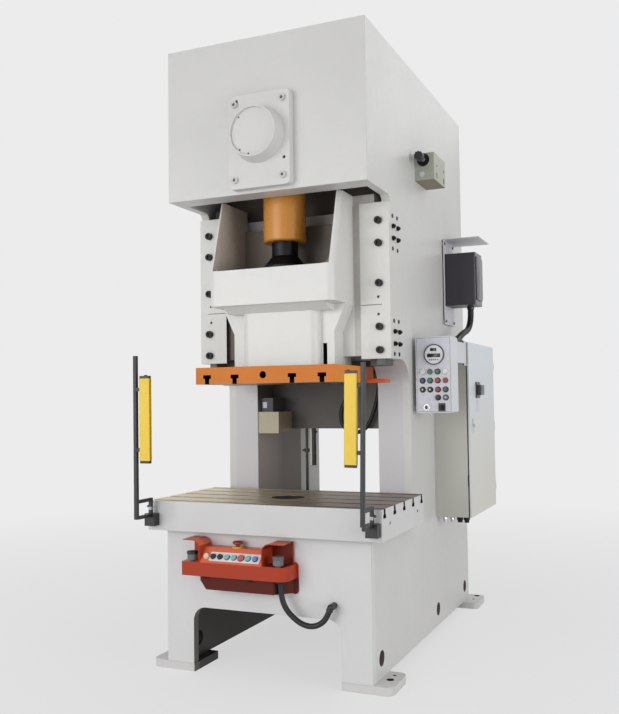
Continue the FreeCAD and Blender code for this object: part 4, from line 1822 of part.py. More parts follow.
# ---- all sub-parts ----------------------------------------------------------------------
def sub_parts():
    return {
        "side_plate_left": mirrored(side_plate()),
        "side_plate_right": side_plate(),
        "columns": columns(),
        "crown_front": crown_front(),
        "crown_top": crown_top(),
        "way_plate": way_plate(),
        "cross_beam": cross_beam(),
        "bearing_wall_front": bearing_wall(WALL_A_Y, JOURNAL_R + BUSH_WALL),
        "bearing_wall_rear": bearing_wall(WALL_B_Y, TAIL_R + BUSH_WALL),
        "bed_plate": bed_plate(),
        "base_front": base_front(),
        "base_rear": base_rear(),
        "foot_plates": foot_plates(),
        "rear_cover": rear_cover(),
        "bolster": bolster(),
        "crankshaft": crankshaft(),
        "bearing_bushes": bearing_bushes(),
        "main_gear": main_gear(),
        "pinion_shaft": pinion_shaft(),
        "flywheel": flywheel(),
        "clutch_brake": clutch_brake(),
        "motor": motor(),
        "motor_pulley": motor_pulley(),
        "drive_belts": drive_belts(),
        "connecting_rod": connecting_rod(),
        "adjusting_screw": adjusting_screw(),
        "slide_body": slide_body(),
        "slide_plate": slide_plate(),
        "ball_seat": ball_seat(),
        "gib_plates": gib_plates(),
        "slide_ways": slide_ways(),
        "frame_screws": group([frame_screws(), cover_screws()]),
        "crank_cover": crank_cover(),
        "valve_box": valve_box(),
        "valve_knob": valve_knob(),
        "cabinet": cabinet(),
        "cabinet_door": cabinet_door(),
        "cabinet_gear": cabinet_gear(),
        "isolator_handle": isolator_handle(),
        "panel_arm": panel_arm(),
        "panel_box": panel_box(),
        "start_button": panel_button(START_PLACE),
        "stop_button": panel_button(STOP_PLACE),
        "panel_knob": panel_knob(),
        "panel_key": panel_key(),
        "inverter_box": inverter_box(),
        "inverter_bracket": inverter_bracket(),
        "conduit": conduit(),
        "console": console(),
        "palm_button_left": palm_button(PALM_X[0]),
        "palm_button_right": palm_button(PALM_X[1]),
        "console_stop": console_stop(),
        "console_cable": console_cable(),
        "curtain_arm_left": curtain_arm(-1),
        "curtain_arm_right": curtain_arm(1),
        "light_bar_left": light_bar(-1),
        "light_bar_right": light_bar(1),
        "throat_box": throat_box(),
        "guide_rod": guide_rod(),
        "throat_hose": throat_hose(),
    }


def main():
    os.makedirs(OUT, exist_ok=True)
    for name, shape in sub_parts().items():
        shape.translate(vec(0, -ANCHOR_MID_Y, 0))
        shape.exportStep(OUT + "/" + name + ".step")
        litres = round(shape.Volume / 1e6, 2)
        print(name, "solids", len(shape.Solids), "valid", shape.isValid(), "litres", litres)


main()
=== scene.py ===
import bpy
import bmesh
import json
import math
from mathutils import Matrix, Vector


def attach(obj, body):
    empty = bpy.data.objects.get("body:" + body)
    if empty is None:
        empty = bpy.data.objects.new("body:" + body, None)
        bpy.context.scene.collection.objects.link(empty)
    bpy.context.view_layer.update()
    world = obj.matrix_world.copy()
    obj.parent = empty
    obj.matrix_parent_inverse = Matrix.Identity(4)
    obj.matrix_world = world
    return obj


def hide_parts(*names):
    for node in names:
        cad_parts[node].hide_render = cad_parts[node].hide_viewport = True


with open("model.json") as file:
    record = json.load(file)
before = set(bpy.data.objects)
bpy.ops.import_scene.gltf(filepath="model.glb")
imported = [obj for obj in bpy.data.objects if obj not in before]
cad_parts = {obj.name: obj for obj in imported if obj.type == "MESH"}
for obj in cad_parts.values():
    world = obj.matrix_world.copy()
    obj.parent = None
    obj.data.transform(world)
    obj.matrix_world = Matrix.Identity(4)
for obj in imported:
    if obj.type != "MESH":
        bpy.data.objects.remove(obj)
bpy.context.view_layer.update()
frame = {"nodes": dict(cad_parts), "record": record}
NODES = frame["nodes"]

# The press's own drawing has its zero at the slide's axis, in millimetres. P() turns such a
# point into the row frame, whose zero is amid the anchor holes.
ANCHOR_MID_Y = 839.0


def P(x, y, z):
    return Vector((x / 1000.0, (y - ANCHOR_MID_Y) / 1000.0, z / 1000.0))


def srgb(r, g, b):
    """Linear colour of an 8-bit screen colour."""
    out = []
    for c in (r, g, b):
        c /= 255.0
        out.append(c / 12.92 if c <= 0.04045 else ((c + 0.055) / 1.055) ** 2.4)
    return (out[0], out[1], out[2], 1.0)


def span(half):
    """Both limits of something that lies evenly about the middle."""
    return (-half, half)


def around(middle, reach):
    return (middle - reach, middle + reach)


# ---- places on the solids, in the drawing's mm -------------------------------------------
SKIN = 0.5                  # a zone stops this far inside a face that keeps the paint's colour
FRAME_HALF_W = 616.0
INNER_X = 566.0             # inner face of a side plate
FRONT_Y = -314.0            # front of the base
REAR_Y = 1810.0
BED_Z = 787.0               # top of the base
THROAT_Y = 433.0            # front of the columns
LEG_IN_X = 496.0
ARCH_HALF_W = 446.0
LIFT_HOLE_Y = (-172.0, 967.0, 1692.0)
LIFT_HOLE_Z = 147.0
FOOT_T = 45.0
FEET_SHADE_Y = (-264.0, 1829.0)      # painted shade on the foot plates behind the front legs and under the rear ones
ANCHOR_X = 664.0
FOOT_HOLES_Y = ((-208.0, -97.0), (1738.0, 1886.0))
BOLSTER_HALF_X, BOLSTER_HALF_Y, BOLSTER_TOP_Z = 700.0, 382.0, 952.0
BOLSTER_EYE_X0, BOLSTER_EYE_Y, BOLSTER_EYE_Z = 600.0, 250.0, (850.0, 890.0)
WAY_EDGE_Y = 98.0           # front edge of the side plates at the slide ways
SLIDE_HALF_X = 390.0
POCKET_HALF_X = 363.0       # pocket between the slide's ears
POCKET_Y0, POCKET_Z = -176.5, 2079.0
SLIDE_BOX_TOP_Z = 2261.0
KNOCKOUT_X, KNOCKOUT_Y, KNOCKOUT_Z = 262.0, (-39.0, 24.0), (1700.0, 1834.0)
GIB_IN_X, GIB_SLIT_Z = 437.0, 2048.0
GIB_SINK_Y = (78.0, 97.0)           # floors of the sunk holes of the gib plates
COVER_SINK_Y = (-332.0, -315.0)     # the same on the crank cover's flange and on its round cap
CAP_SINK_Y = (-403.5, -395.0)
COVER_SCREWS_Y = -300.0             # screws in front of this hold the cover
COVER_SOCKET_Y = (-346.0, -330.0)
PLATE_HALF_X, PLATE_HALF_Y = 425.0, 310.0
PLATE_Z0, PLATE_Z1 = 1607.0, 1702.0
PLATE_TAB_Y = 200.0
ROD_EYE_Z = 2725.0          # bare metal of the rod's eye above its painted barrel
POST_Y = -556.0             # posts and light bars
BAR_X = 597.0
BAR_Z0, BAR_Z1 = 1190.0, 1642.0
ARM_BOLT_Y0, ARM_BOLT_Z = -436.0, (905.0, 922.0)
CONSOLE_Z0 = 564.0
GUARD_IN_X, GUARD_IN_Y0, GUARD_IN_Z = (56.0, 176.0), -440.0, (637.0, 752.0)
TRAY_KNOB_X, TRAY_KNOB_REACH, TRAY_KNOB_Y1 = (-313.0, -37.0), 17.5, -407.0
GLAND_X, GLAND_Y = (104.0, 162.0), (-424.0, -362.0)
PALM_X = (("left", -388.0), ("right", 134.0))
PALM_Y = -420.0
PALM_SLEEVE_Z, PALM_CAP_Z, PALM_CROWN_Z = 645.0, 677.0, 688.0
STOP_X, STOP_Y = -138.0, -358.0
STOP_RING_Z, STOP_CROWN_Z = 712.4, 743.0
PANEL_Y = 470.0             # front of the operator panel
PANEL_X = (640.0, 860.0)
PANEL_Z = (1425.0, 1882.0)
PANEL_COLS, PANEL_ROWS = (682.0, 728.0, 775.0, 822.0), (1671.0, 1618.0, 1564.0, 1516.0)
PANEL_LOW_Z = 1458.0        # selector and key
PANEL_BEZEL_Z = 1690.0      # all bezels lie below this
KEY_SEAT_Z1 = 1483.0
SELECTOR_X, KEY_X = 705.0, 797.0
GAUGE_X, GAUGE_Z = 755.0, 1774.0
CABINET_Y0, CABINET_X1 = 945.0, 840.0
CABINET_Z0, CABINET_Z1 = 745.0, 1870.0
DOOR_X = 852.0
ISOLATOR_Y, ISOLATOR_Z = (1120.0, 1240.0), (1500.0, 1625.0)
LOCK_Y, LOCK_Z = (1015.0, 1055.0), (1270.0, 1390.0)
GRIP_X0 = 879.5             # outer part of the isolator's handle
BRACKET_X = 630.0
BRACKET_LOW_Z1, BRACKET_TOP_Z = 2060.0, (2560.0, 2595.0)    # heights of its screws
INVERTER_X = 841.0
VALVE_X, VALVE_Y, VALVE_Z0 = 740.0, 610.0, 2870.0
VALVE_KNOB_X, VALVE_KNOB_Z = 676.0, 2993.0
VALVE_SEAT_Y, VALVE_NECK_L = 594.0, 66.0
VALVE_LENS_X, VALVE_LENS_Z = 662.0, 2908.0
BEAM_Y, BEAM_T = 645.0, 50.0
THROAT_BOX_Z1 = 1437.0
SENSOR_Y = 470.0            # front of the sensor on the throat's box
HANGER_X, HANGER_Z0 = (-150.5, -127.0), 1084.5
CABLE_GLAND_Y = 978.0       # glands under the cabinet


# ---- camera, solved from the photograph's straight edges -----------------------------------
CAMERA_AT = P(2127.2, -4561.1, 1523.2)
YAW, PITCH, ROLL = math.radians(23.470), math.radians(2.7155), math.radians(-0.7331)
SENSOR_W, FOCAL = 36.0, 50.24
FARTHEST = 200.0


def add_camera():
    forward = Vector((-math.sin(YAW) * math.cos(PITCH), math.cos(YAW) * math.cos(PITCH),
                      math.sin(PITCH)))
    level = Vector((math.cos(YAW), math.sin(YAW), 0))
    upright = level.cross(forward)
    right = level * math.cos(ROLL) + upright * math.sin(ROLL)
    up = upright * math.cos(ROLL) - level * math.sin(ROLL)
    data = bpy.data.cameras.new("camera")
    data.sensor_fit = "HORIZONTAL"
    data.sensor_width = SENSOR_W
    data.lens = FOCAL
    data.clip_end = FARTHEST
    cam = bpy.data.objects.new("camera", data)
    bpy.context.scene.collection.objects.link(cam)
    pose = Matrix((right, up, -forward)).transposed().to_4x4()
    pose.translation = CAMERA_AT
    cam.matrix_world = pose
    bpy.context.scene.camera = cam


add_camera()


# ---- objects ---------------------------------------------------------------------------------
def link(name, data, body, mat):
    ob = bpy.data.objects.new(name, data)
    bpy.context.scene.collection.objects.link(ob)
    data.materials.append(mat)
    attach(ob, body)
    return ob


def nurbs(name, points, diameter, body, mat):
    """Smooth cord on the route's points."""
    curve = bpy.data.curves.new(name, "CURVE")
    curve.dimensions = "3D"
    spline = curve.splines.new("NURBS")
    spline.points.add(len(points) - 1)
    for i, p in enumerate(points):
        spline.points[i].co = (p[0], p[1], p[2], 1.0)
    spline.order_u = 3
    spline.use_endpoint_u = True
    spline.resolution_u = 12
    curve.bevel_depth = diameter / 2
    curve.bevel_resolution = 6
    curve.use_fill_caps = True
    return link(name, curve, body, mat)


# ---- materials -------------------------------------------------------------------------------
# ways a face can look: axis, test of the normal's part along it, and its limit
SIDES = {"front": (1, "LESS_THAN", -0.5), "top": (2, "GREATER_THAN", 0.5),
         "right": (0, "GREATER_THAN", 0.5)}


class Mat:
    """Small builder for node materials in object coordinates."""

    def __init__(self, name):
        self.m = bpy.data.materials.new(name)
        self.m.use_nodes = True
        self.t = self.m.node_tree
        self.t.nodes.clear()
        self.out = self.new("ShaderNodeOutputMaterial")
        self.p = self.new("ShaderNodeBsdfPrincipled")
        self.t.links.new(self.p.outputs[0], self.out.inputs[0])
        self.co = self.new("ShaderNodeTexCoord").outputs["Object"]
        self.xyz = None

    def new(self, kind, **props):
        n = self.t.nodes.new(kind)
        for k, v in props.items():
            setattr(n, k, v)
        return n

    def put(self, socket, value):
        """A link where the value is a socket, and a constant otherwise."""
        if hasattr(value, "is_linked"):
            self.t.links.new(value, socket)
        else:
            socket.default_value = value

    def noise(self, scale, detail=3.0, rough=0.55, stretch=None):
        co = self.co
        if stretch is not None:
            mp = self.new("ShaderNodeMapping")
            mp.inputs["Scale"].default_value = stretch
            self.put(mp.inputs["Vector"], co)
            co = mp.outputs[0]
        n = self.new("ShaderNodeTexNoise")
        n.inputs["Scale"].default_value = scale
        n.inputs["Detail"].default_value = detail
        n.inputs["Roughness"].default_value = rough
        self.put(n.inputs["Vector"], co)
        return n.outputs[0]

    def ramp(self, value, a, b, lo=0.0, hi=1.0):
        n = self.new("ShaderNodeMapRange")
        for k, v in (("From Min", a), ("From Max", b), ("To Min", lo), ("To Max", hi)):
            n.inputs[k].default_value = v
        self.put(n.inputs["Value"], value)
        return n.outputs[0]

    def math(self, op, a, b=0.0):
        n = self.new("ShaderNodeMath", operation=op)
        self.put(n.inputs[0], a)
        self.put(n.inputs[1], b)
        return n.outputs[0]

    def both(self, a, b):
        return self.math("MULTIPLY", a, b)

    def either(self, *masks):
        total = masks[0]
        for mask in masks[1:]:
            total = self.math("MAXIMUM", total, mask)
        return total

    def weigh(self, mask, on, off):
        """Number that is on where the mask is 1 and off where it is 0."""
        return self.math("ADD", self.math("MULTIPLY", mask, on),
                         self.math("MULTIPLY", self.math("SUBTRACT", 1.0, mask), off))

    def mix(self, fac, a, b):
        n = self.new("ShaderNodeMix", data_type="RGBA")
        self.put(n.inputs[0], fac)
        self.put(n.inputs[6], a)
        self.put(n.inputs[7], b)
        return n.outputs[2]

    def axis(self, i):
        if self.xyz is None:
            self.xyz = self.new("ShaderNodeSeparateXYZ")
            self.put(self.xyz.inputs[0], self.co)
        return self.xyz.outputs[i]

    def facing(self, i):
        """Component of the surface's normal along a world axis."""
        n = self.new("ShaderNodeSeparateXYZ")
        self.put(n.inputs[0], self.new("ShaderNodeNewGeometry").outputs["Normal"])
        return n.outputs[i]

    def within(self, x=(None, None), y=(None, None), z=(None, None), side=None):
        """Mask of a box in the drawing's millimetres, and of the faces that look to one side."""
        tests = []
        for i, limits in enumerate((x, y, z)):
            shift = ANCHOR_MID_Y if i == 1 else 0.0
            for op, limit in (("GREATER_THAN", limits[0]), ("LESS_THAN", limits[1])):
                if limit is not None:
                    tests.append(self.math(op, self.axis(i), (limit - shift) / 1000.0))
        if side is not None:
            i, op, limit = SIDES[side]
            tests.append(self.math(op, self.facing(i), limit))
        total = tests[0]
        for test in tests[1:]:
            total = self.both(total, test)
        return total

    def disc(self, x, z, r0, r1):
        """Mask of a ring about a line along Y."""
        dx = self.math("SUBTRACT", self.axis(0), x / 1000.0)
        dz = self.math("SUBTRACT", self.axis(2), z / 1000.0)
        squares = self.math("ADD", self.math("MULTIPLY", dx, dx), self.math("MULTIPLY", dz, dz))
        distance = self.math("SQRT", squares)
        return self.both(self.math("GREATER_THAN", distance, r0 / 1000.0),
                         self.math("LESS_THAN", distance, r1 / 1000.0))

    def edge(self, radius):
        """(soft normal, mask that is 1 on sharp edges)."""
        bevel = self.new("ShaderNodeBevel", samples=4)
        bevel.inputs["Radius"].default_value = radius
        dot = self.new("ShaderNodeVectorMath", operation="DOT_PRODUCT")
        self.put(dot.inputs[0], bevel.outputs[0])
        self.put(dot.inputs[1], self.new("ShaderNodeNewGeometry").outputs["Normal"])
        return bevel.outputs[0], self.ramp(dot.outputs["Value"], 0.80, 0.985, 1.0, 0.0)

    def bump(self, height, strength, distance, normal):
        n = self.new("ShaderNodeBump")
        n.inputs["Strength"].default_value = strength
        n.inputs["Distance"].default_value = distance
        self.put(n.inputs["Height"], height)
        self.put(n.inputs["Normal"], normal)
        self.put(self.p.inputs["Normal"], n.outputs[0])


def scaled(color, k):
    return (color[0] * k, color[1] * k, color[2] * k, 1.0)


def add_zones(m, tone, rough, zones, metal=None):
    """Lay other colours over parts of one piece: (mask, colour, roughness, metallic) each."""
    if not zones:
        return tone, rough
    speckle = m.noise(30.0, 4.0)
    for mask_of, color, zone_rough, zone_metal in zones:
        mask = mask_of(m)
        if callable(color):
            varied = color(m)
        else:
            varied = m.mix(m.ramp(speckle, 0.3, 0.7), scaled(color, 0.93), scaled(color, 1.05))
        tone = m.mix(mask, tone, varied)
        rough = m.weigh(mask, zone_rough, rough)
        if zone_metal or metal is not None:
            metal = m.weigh(mask, zone_metal, 0.0 if metal is None else metal)
    if metal is not None:
        m.put(m.p.inputs["Metallic"], metal)
    return tone, rough


def paint(name, color, rough=0.38, vary=0.035, bevel=0.003, wear=0.25, wear_color=None,
          grain=0.25, zones=(), grime=0.0, shine=0.5):
    """Machine paint: soft blotches, orange peel, edges rubbed lighter."""
    m = Mat(name)
    big = m.noise(2.3, 4.0)
    small = m.noise(38.0, 3.0)
    tone = m.mix(m.ramp(big, 0.3, 0.7), scaled(color, 1 - vary), scaled(color, 1 + vary * 0.6))
    tone = m.mix(m.ramp(small, 0.55, 0.8, 0.0, 0.25), tone, scaled(color, 1 - 3 * vary))
    if grime:
        runs = m.noise(5.0, 5.0, 0.6, (3.0, 3.0, 0.6))
        tone = m.mix(m.ramp(runs, 0.5, 0.8, 0.0, grime), tone, (0.20, 0.15, 0.10, 1.0))
    normal, mask = m.edge(bevel)
    rub = m.both(mask, m.ramp(m.noise(60.0, 4.0), 0.42, 0.62, 0.0, wear))
    tone = m.mix(rub, tone, wear_color or scaled(color, 0.62))
    roughness = m.ramp(small, 0.2, 0.8, rough - 0.07, rough + 0.09)
    tone, roughness = add_zones(m, tone, roughness, zones)
    m.put(m.p.inputs["Base Color"], tone)
    m.put(m.p.inputs["Roughness"], roughness)
    m.p.inputs["Specular IOR Level"].default_value = shine
    m.bump(m.noise(420.0, 2.0), grain, 0.0004, normal)
    return m.m


def plastic(name, color, rough=0.45, grain=0.35, scale=1400.0, vary=0.05, zones=()):
    m = Mat(name)
    spots = m.noise(55.0, 3.0)
    tone = m.mix(m.ramp(spots, 0.3, 0.7), scaled(color, 1 - vary), scaled(color, 1 + vary))
    roughness = m.ramp(spots, 0.2, 0.8, rough - 0.06, rough + 0.08)
    tone, roughness = add_zones(m, tone, roughness, zones)
    m.put(m.p.inputs["Base Color"], tone)
    m.put(m.p.inputs["Roughness"], roughness)
    normal, _ = m.edge(0.0008)
    m.bump(m.noise(scale, 2.0), grain, 0.0002, normal)
    return m.m


def steel(name, color, rough=0.32, stretch=(4.0, 60.0, 60.0), streak=0.18, bevel=0.0015,
          metal=1.0, zones=()):
    """Bare machined metal with fine tool marks along one axis."""
    m = Mat(name)
    lines = m.noise(9.0, 5.0, 0.65, stretch)
    blot = m.noise(3.0, 4.0)
    tone = m.mix(m.ramp(lines, 0.3, 0.7), scaled(color, 1 - streak),
                 scaled(color, 1 + streak * 0.6))
    tone = m.mix(m.ramp(blot, 0.45, 0.75, 0.0, 0.35), tone, scaled(color, 0.7))
    m.p.inputs["Metallic"].default_value = metal
    roughness = m.ramp(lines, 0.3, 0.7, rough - 0.08, rough + 0.12)
    tone, roughness = add_zones(m, tone, roughness, zones, metal)
    m.put(m.p.inputs["Base Color"], tone)
    m.put(m.p.inputs["Roughness"], roughness)
    normal, _ = m.edge(bevel)
    m.bump(lines, 0.12, 0.0006, normal)
    return m.m


WHITE_RGB = srgb(214, 213, 210)
PALE_RGB = srgb(226, 225, 221)
DARK_RGB = srgb(34, 33, 33)
# painted shade inside holes, slots and sunk holes
HOLE_RGB = srgb(26, 24, 23)
UNDER_RGB = srgb(62, 58, 54)        # paint in the shade under and inside the frame


def zone(color, rough, metal=0.0, **box):
    """Zone over a box of the drawing, or over the faces in it that look to one side."""
    return (lambda m: m.within(**box), color, rough, metal)


def hole_zone(**box):
    """Shadowed inner surface of a hole or slot."""
    return zone(HOLE_RGB, 0.6, **box)


def hole_pairs(x, y_spans, z):
    """Mask of the walls of holes that both sides of the press have."""
    def mask(m):
        across = m.math("ABSOLUTE", m.axis(0))
        sides = m.both(m.math("GREATER_THAN", across, x[0] / 1000.0),
                       m.math("LESS_THAN", across, x[1] / 1000.0))
        return m.both(sides, m.either(*[m.within(y=y, z=z) for y in y_spans]))
    return mask


# colours that run from one to another over a piece, along an axis of the row frame, in m
def bolster_top(m):
    """Ground face: warm and pale at one end, dark at the other, with the grinding's streaks."""
    streaks = m.noise(9.0, 5.0, 0.65, (3.0, 26.0, 40.0))
    pale = m.mix(m.ramp(streaks, 0.3, 0.7), srgb(206, 186, 144), srgb(240, 226, 192))
    dull = m.mix(m.ramp(streaks, 0.3, 0.7), srgb(96, 82, 72), srgb(138, 120, 104))
    return m.mix(m.ramp(m.axis(0), -0.60, 0.50), pale, dull)


def fade(i, start, end, first, last):
    """Colour function that goes from first to last along axis i."""
    return lambda m: m.mix(m.ramp(m.axis(i), start, end), first, last)


# painted shade on the cross beam's front, darkest at the left
BEAM_FRONT_SHADE = fade(0, -0.35, 0.42, srgb(64, 60, 57), srgb(112, 108, 102))
# painted shade on the cabinet's front, darker and greener towards the top
CABINET_FRONT_SHADE = fade(2, 1.30, 1.85, srgb(200, 199, 190), srgb(164, 164, 150))
# the slide plate's right side: orange at the front, painted shade in dark brown towards the back
PLATE_SIDE_SHADE = fade(1, -0.72, -0.68, srgb(232, 142, 48), srgb(166, 86, 36))
DOOR_FRONT = fade(2, 0.95, 1.75, srgb(215, 213, 203), srgb(219, 226, 231))
# painted shade on the left column's inner side, darker towards the top
COLUMN_SIDE_SHADE = fade(2, 1.30, 1.56, srgb(150, 138, 131), srgb(66, 60, 56))

WHITE = paint("frame_white", WHITE_RGB)
# inner plates of the frame: white paint darkened to grey-brown as painted shade, with dirt runs
INSIDE = paint("frame_inside", srgb(118, 112, 104), vary=0.08, grime=0.5)
STEEL = steel("machined_steel", srgb(186, 178, 166))
DARK = steel("dark_steel", srgb(46, 46, 48), rough=0.42)
BRIGHT = steel("bright_steel", srgb(205, 205, 206), rough=0.22)
BRONZE = steel("bronze", srgb(176, 134, 78))
CAST = paint("cast_grey", srgb(96, 98, 98), rough=0.5, vary=0.09, grain=0.6)
BELT = plastic("belt_rubber", srgb(36, 36, 37), rough=0.7)
CORD = plastic("cord_black", srgb(15, 14, 15), rough=0.5)
CABINET = paint("cabinet_white", srgb(212, 214, 217), rough=0.4, bevel=0.002)
BEIGE = plastic("beige_plastic", srgb(196, 188, 160), rough=0.5)
GLASS = plastic("display_black", srgb(22, 22, 24), rough=0.16, grain=0.05)
LENS = plastic("lens_pale", srgb(206, 216, 212), rough=0.2, grain=0.05)
PORT = plastic("valve_port_dark", srgb(74, 72, 60), rough=0.5)
TAG = paint("tag_pale", srgb(206, 209, 228), rough=0.4, bevel=0.0006)
STRIP = paint("strip_white", srgb(232, 230, 236), rough=0.35, bevel=0.0006)
STOP = plastic("stop_dark_red", srgb(150, 52, 42), rough=0.35)
B_GREY = plastic("button_grey", srgb(112, 113, 116))
B_BLACK = plastic("button_black", srgb(34, 34, 36), rough=0.35)
B_RED = plastic("button_red", srgb(158, 42, 46), rough=0.3)
B_GREEN = plastic("button_green", srgb(40, 108, 82), rough=0.3)
B_BLUE = plastic("button_blue", srgb(46, 56, 92), rough=0.3)
B_TEAL = plastic("button_teal", srgb(122, 190, 182), rough=0.2)
B_SKY = plastic("button_sky", srgb(96, 146, 204), rough=0.3)
B_ROSE = plastic("button_rose", srgb(196, 92, 88), rough=0.3)
B_WHITE = plastic("button_white", srgb(226, 226, 226), rough=0.3)
B_CREAM = plastic("button_cream", srgb(232, 218, 188), rough=0.3)
B_DULL = plastic("button_dull_green", srgb(66, 78, 74), rough=0.35)

# pieces whose colour changes over their own surface
BOLSTER = paint("bolster_block", srgb(212, 212, 211), rough=0.4, bevel=0.002, zones=(
    zone(bolster_top, 0.34, 0.45, x=span(BOLSTER_HALF_X - SKIN), y=span(BOLSTER_HALF_Y - SKIN),
         z=(BOLSTER_TOP_Z - 1.5, None)),
    hole_zone(x=span(BOLSTER_HALF_X - SKIN), y=span(BOLSTER_HALF_Y - SKIN),
              z=(None, BOLSTER_TOP_Z - 1.5)),
    # painted shade on the walls of the side eyes
    (hole_pairs((BOLSTER_EYE_X0, BOLSTER_HALF_X - SKIN),
                [around(y, 12.0) for y in span(BOLSTER_EYE_Y)], BOLSTER_EYE_Z),
     srgb(150, 128, 116), 0.5, 0.0),
))
BED = paint("bed_plate_paint", WHITE_RGB, zones=(zone(UNDER_RGB, 0.6, z=(None, BED_Z - 1.0)),))
SIDE = paint("side_plate_paint", WHITE_RGB, bevel=0.0, zones=(
    zone(UNDER_RGB, 0.6, x=span(INNER_X + 1.0), z=(None, BED_Z - 2.0)),
    # painted shade on the walls of the lifting holes
    (hole_pairs((INNER_X + 1.0, FRAME_HALF_W - SKIN), [around(y, 48.0) for y in LIFT_HOLE_Y],
                around(LIFT_HOLE_Z, 47.0)), srgb(112, 102, 97), 0.6, 0.0),
))
# white paint lifted above the frame's white: painted light that makes up for the shade under the
# bolster
FRONT_BASE = paint("base_front_white", srgb(222, 221, 221), zones=(
    # painted shade inside the arch behind the front plate
    zone(srgb(96, 91, 84), 0.5, x=span(FRAME_HALF_W - 1.0), y=(FRONT_Y + 1.5, None),
         z=(None, BED_Z - 1.0)),
    zone(DARK_RGB, 0.35, y=(None, FRONT_Y - 0.8)),      # cable outlet
))
REAR_BASE = paint("base_rear_paint", WHITE_RGB, zones=(
    zone(UNDER_RGB, 0.6, x=span(INNER_X + 1.0), y=(None, REAR_Y - 0.6)),
))
FEET = paint("foot_plate_paint", WHITE_RGB, rough=0.45, zones=(
    # painted shade on the left foot's top between the legs
    zone(UNDER_RGB, 0.6, x=(-LEG_IN_X + 1.0, 0.0), y=(FRONT_Y + 1.0, None), side="top"),
    # painted shade on the left foot inside the arch
    zone(srgb(104, 98, 92), 0.6, x=(-ARCH_HALF_W - 1.0, 0.0)),
    zone(UNDER_RGB, 0.6, x=span(INNER_X - 1.0), y=FEET_SHADE_Y),
    # painted shade in the anchor holes
    (hole_pairs(around(ANCHOR_X, 22.0), FOOT_HOLES_Y, (SKIN, FOOT_T - SKIN)),
     srgb(58, 48, 46), 0.6, 0.0),
))
COLUMNS = paint("column_paint", srgb(208, 206, 208), zones=(
    # painted shade on the left column's inner side
    zone(COLUMN_SIDE_SHADE, 0.5, x=(None, 0.0), y=(THROAT_Y + 3.0, None), side="right"),
))
# the cross beam's dark grey is painted shade in the throat, with dirt runs; its rear face is a
# lighter grey
BEAM = paint("cross_beam_painted_shade", srgb(72, 69, 66), rough=0.5, vary=0.1, grime=0.3, zones=(
    zone(BEAM_FRONT_SHADE, 0.5, y=(None, BEAM_Y + 1.0), side="front"),
    zone(srgb(150, 148, 142), 0.45, y=(BEAM_Y + BEAM_T + 1.0, None)),
))
PLATE = paint("slide_plate_amber", srgb(210, 118, 22), rough=0.32, shine=0.2, vary=0.05,
              bevel=0.002, wear_color=srgb(112, 86, 56), zones=(
    # painted shade on the plate's right side towards the back
    zone(PLATE_SIDE_SHADE, 0.36, x=(PLATE_HALF_X - SKIN, None), side="right"),
    zone(srgb(232, 96, 44), 0.34, x=(PLATE_HALF_X + 2.0, None), y=(PLATE_TAB_Y - 1.0, None)),
    hole_zone(x=span(PLATE_HALF_X - SKIN), y=span(PLATE_HALF_Y - SKIN),
              z=(PLATE_Z0 + SKIN, PLATE_Z1 - SKIN)),
    zone(srgb(176, 172, 164), 0.4, 0.4, z=(PLATE_Z1 - 1.0, None), side="top"),
    zone(srgb(150, 140, 124), 0.35, 0.8, z=(None, PLATE_Z0 + SKIN)),
))
BARREL = paint("rod_amber", srgb(206, 138, 54), rough=0.28, vary=0.05, grime=0.12, zones=(
    zone(srgb(120, 112, 98), 0.45, 0.7, z=(ROD_EYE_Z, None)),
))
SLIDE = paint("slide_casting", PALE_RGB, rough=0.34, bevel=0.004, zones=(
    # painted shade, with some dirt, in the pocket between the ears and above the box
    (lambda m: m.either(m.within(x=span(POCKET_HALF_X), y=(POCKET_Y0, None), z=(POCKET_Z, None)),
                        m.within(x=span(POCKET_HALF_X), z=(SLIDE_BOX_TOP_Z + 1.0, None))),
     srgb(120, 112, 101), 0.5, 0.0),
    zone(srgb(208, 198, 188), 0.5, x=(-POCKET_HALF_X, 0.0), z=(POCKET_Z, None), side="right"),
    # wings in the ways
    zone(srgb(202, 198, 192), 0.4, x=(SLIDE_HALF_X + 2.0, None), y=(WAY_EDGE_Y - 1.0, None)),
    zone(srgb(98, 74, 50), 0.5, x=(None, -SLIDE_HALF_X - 2.0), y=(WAY_EDGE_Y - 1.0, None)),
    # painted shade in the deep gap beside the left gib plate
    zone(srgb(38, 33, 29), 0.5, x=(None, -SLIDE_HALF_X - 28.0), y=(WAY_EDGE_Y - 1.0, None)),
    hole_zone(x=around(KNOCKOUT_X, 13.0), y=KNOCKOUT_Y, z=KNOCKOUT_Z),
))
GIB = paint("gib_white", srgb(218, 217, 213), rough=0.36, zones=(
    hole_zone(y=GIB_SINK_Y, side="front"),
    zone(srgb(52, 47, 42), 0.5, x=(-GIB_IN_X - 3.0, 0.0), z=(None, GIB_SLIT_Z - 1.0),
         side="right"),
))
SCREWS = steel("screw_mix", srgb(44, 43, 44), rough=0.4, zones=(
    zone(srgb(200, 200, 198), 0.4, y=(None, COVER_SCREWS_Y)),
    zone(srgb(112, 106, 102), 0.5, y=COVER_SOCKET_Y, side="front"),
))
COVER = paint("cover_white", WHITE_RGB, zones=(
    hole_zone(y=COVER_SINK_Y, side="front"),
    zone(HOLE_RGB, 0.5, y=CAP_SINK_Y, side="front"),
))
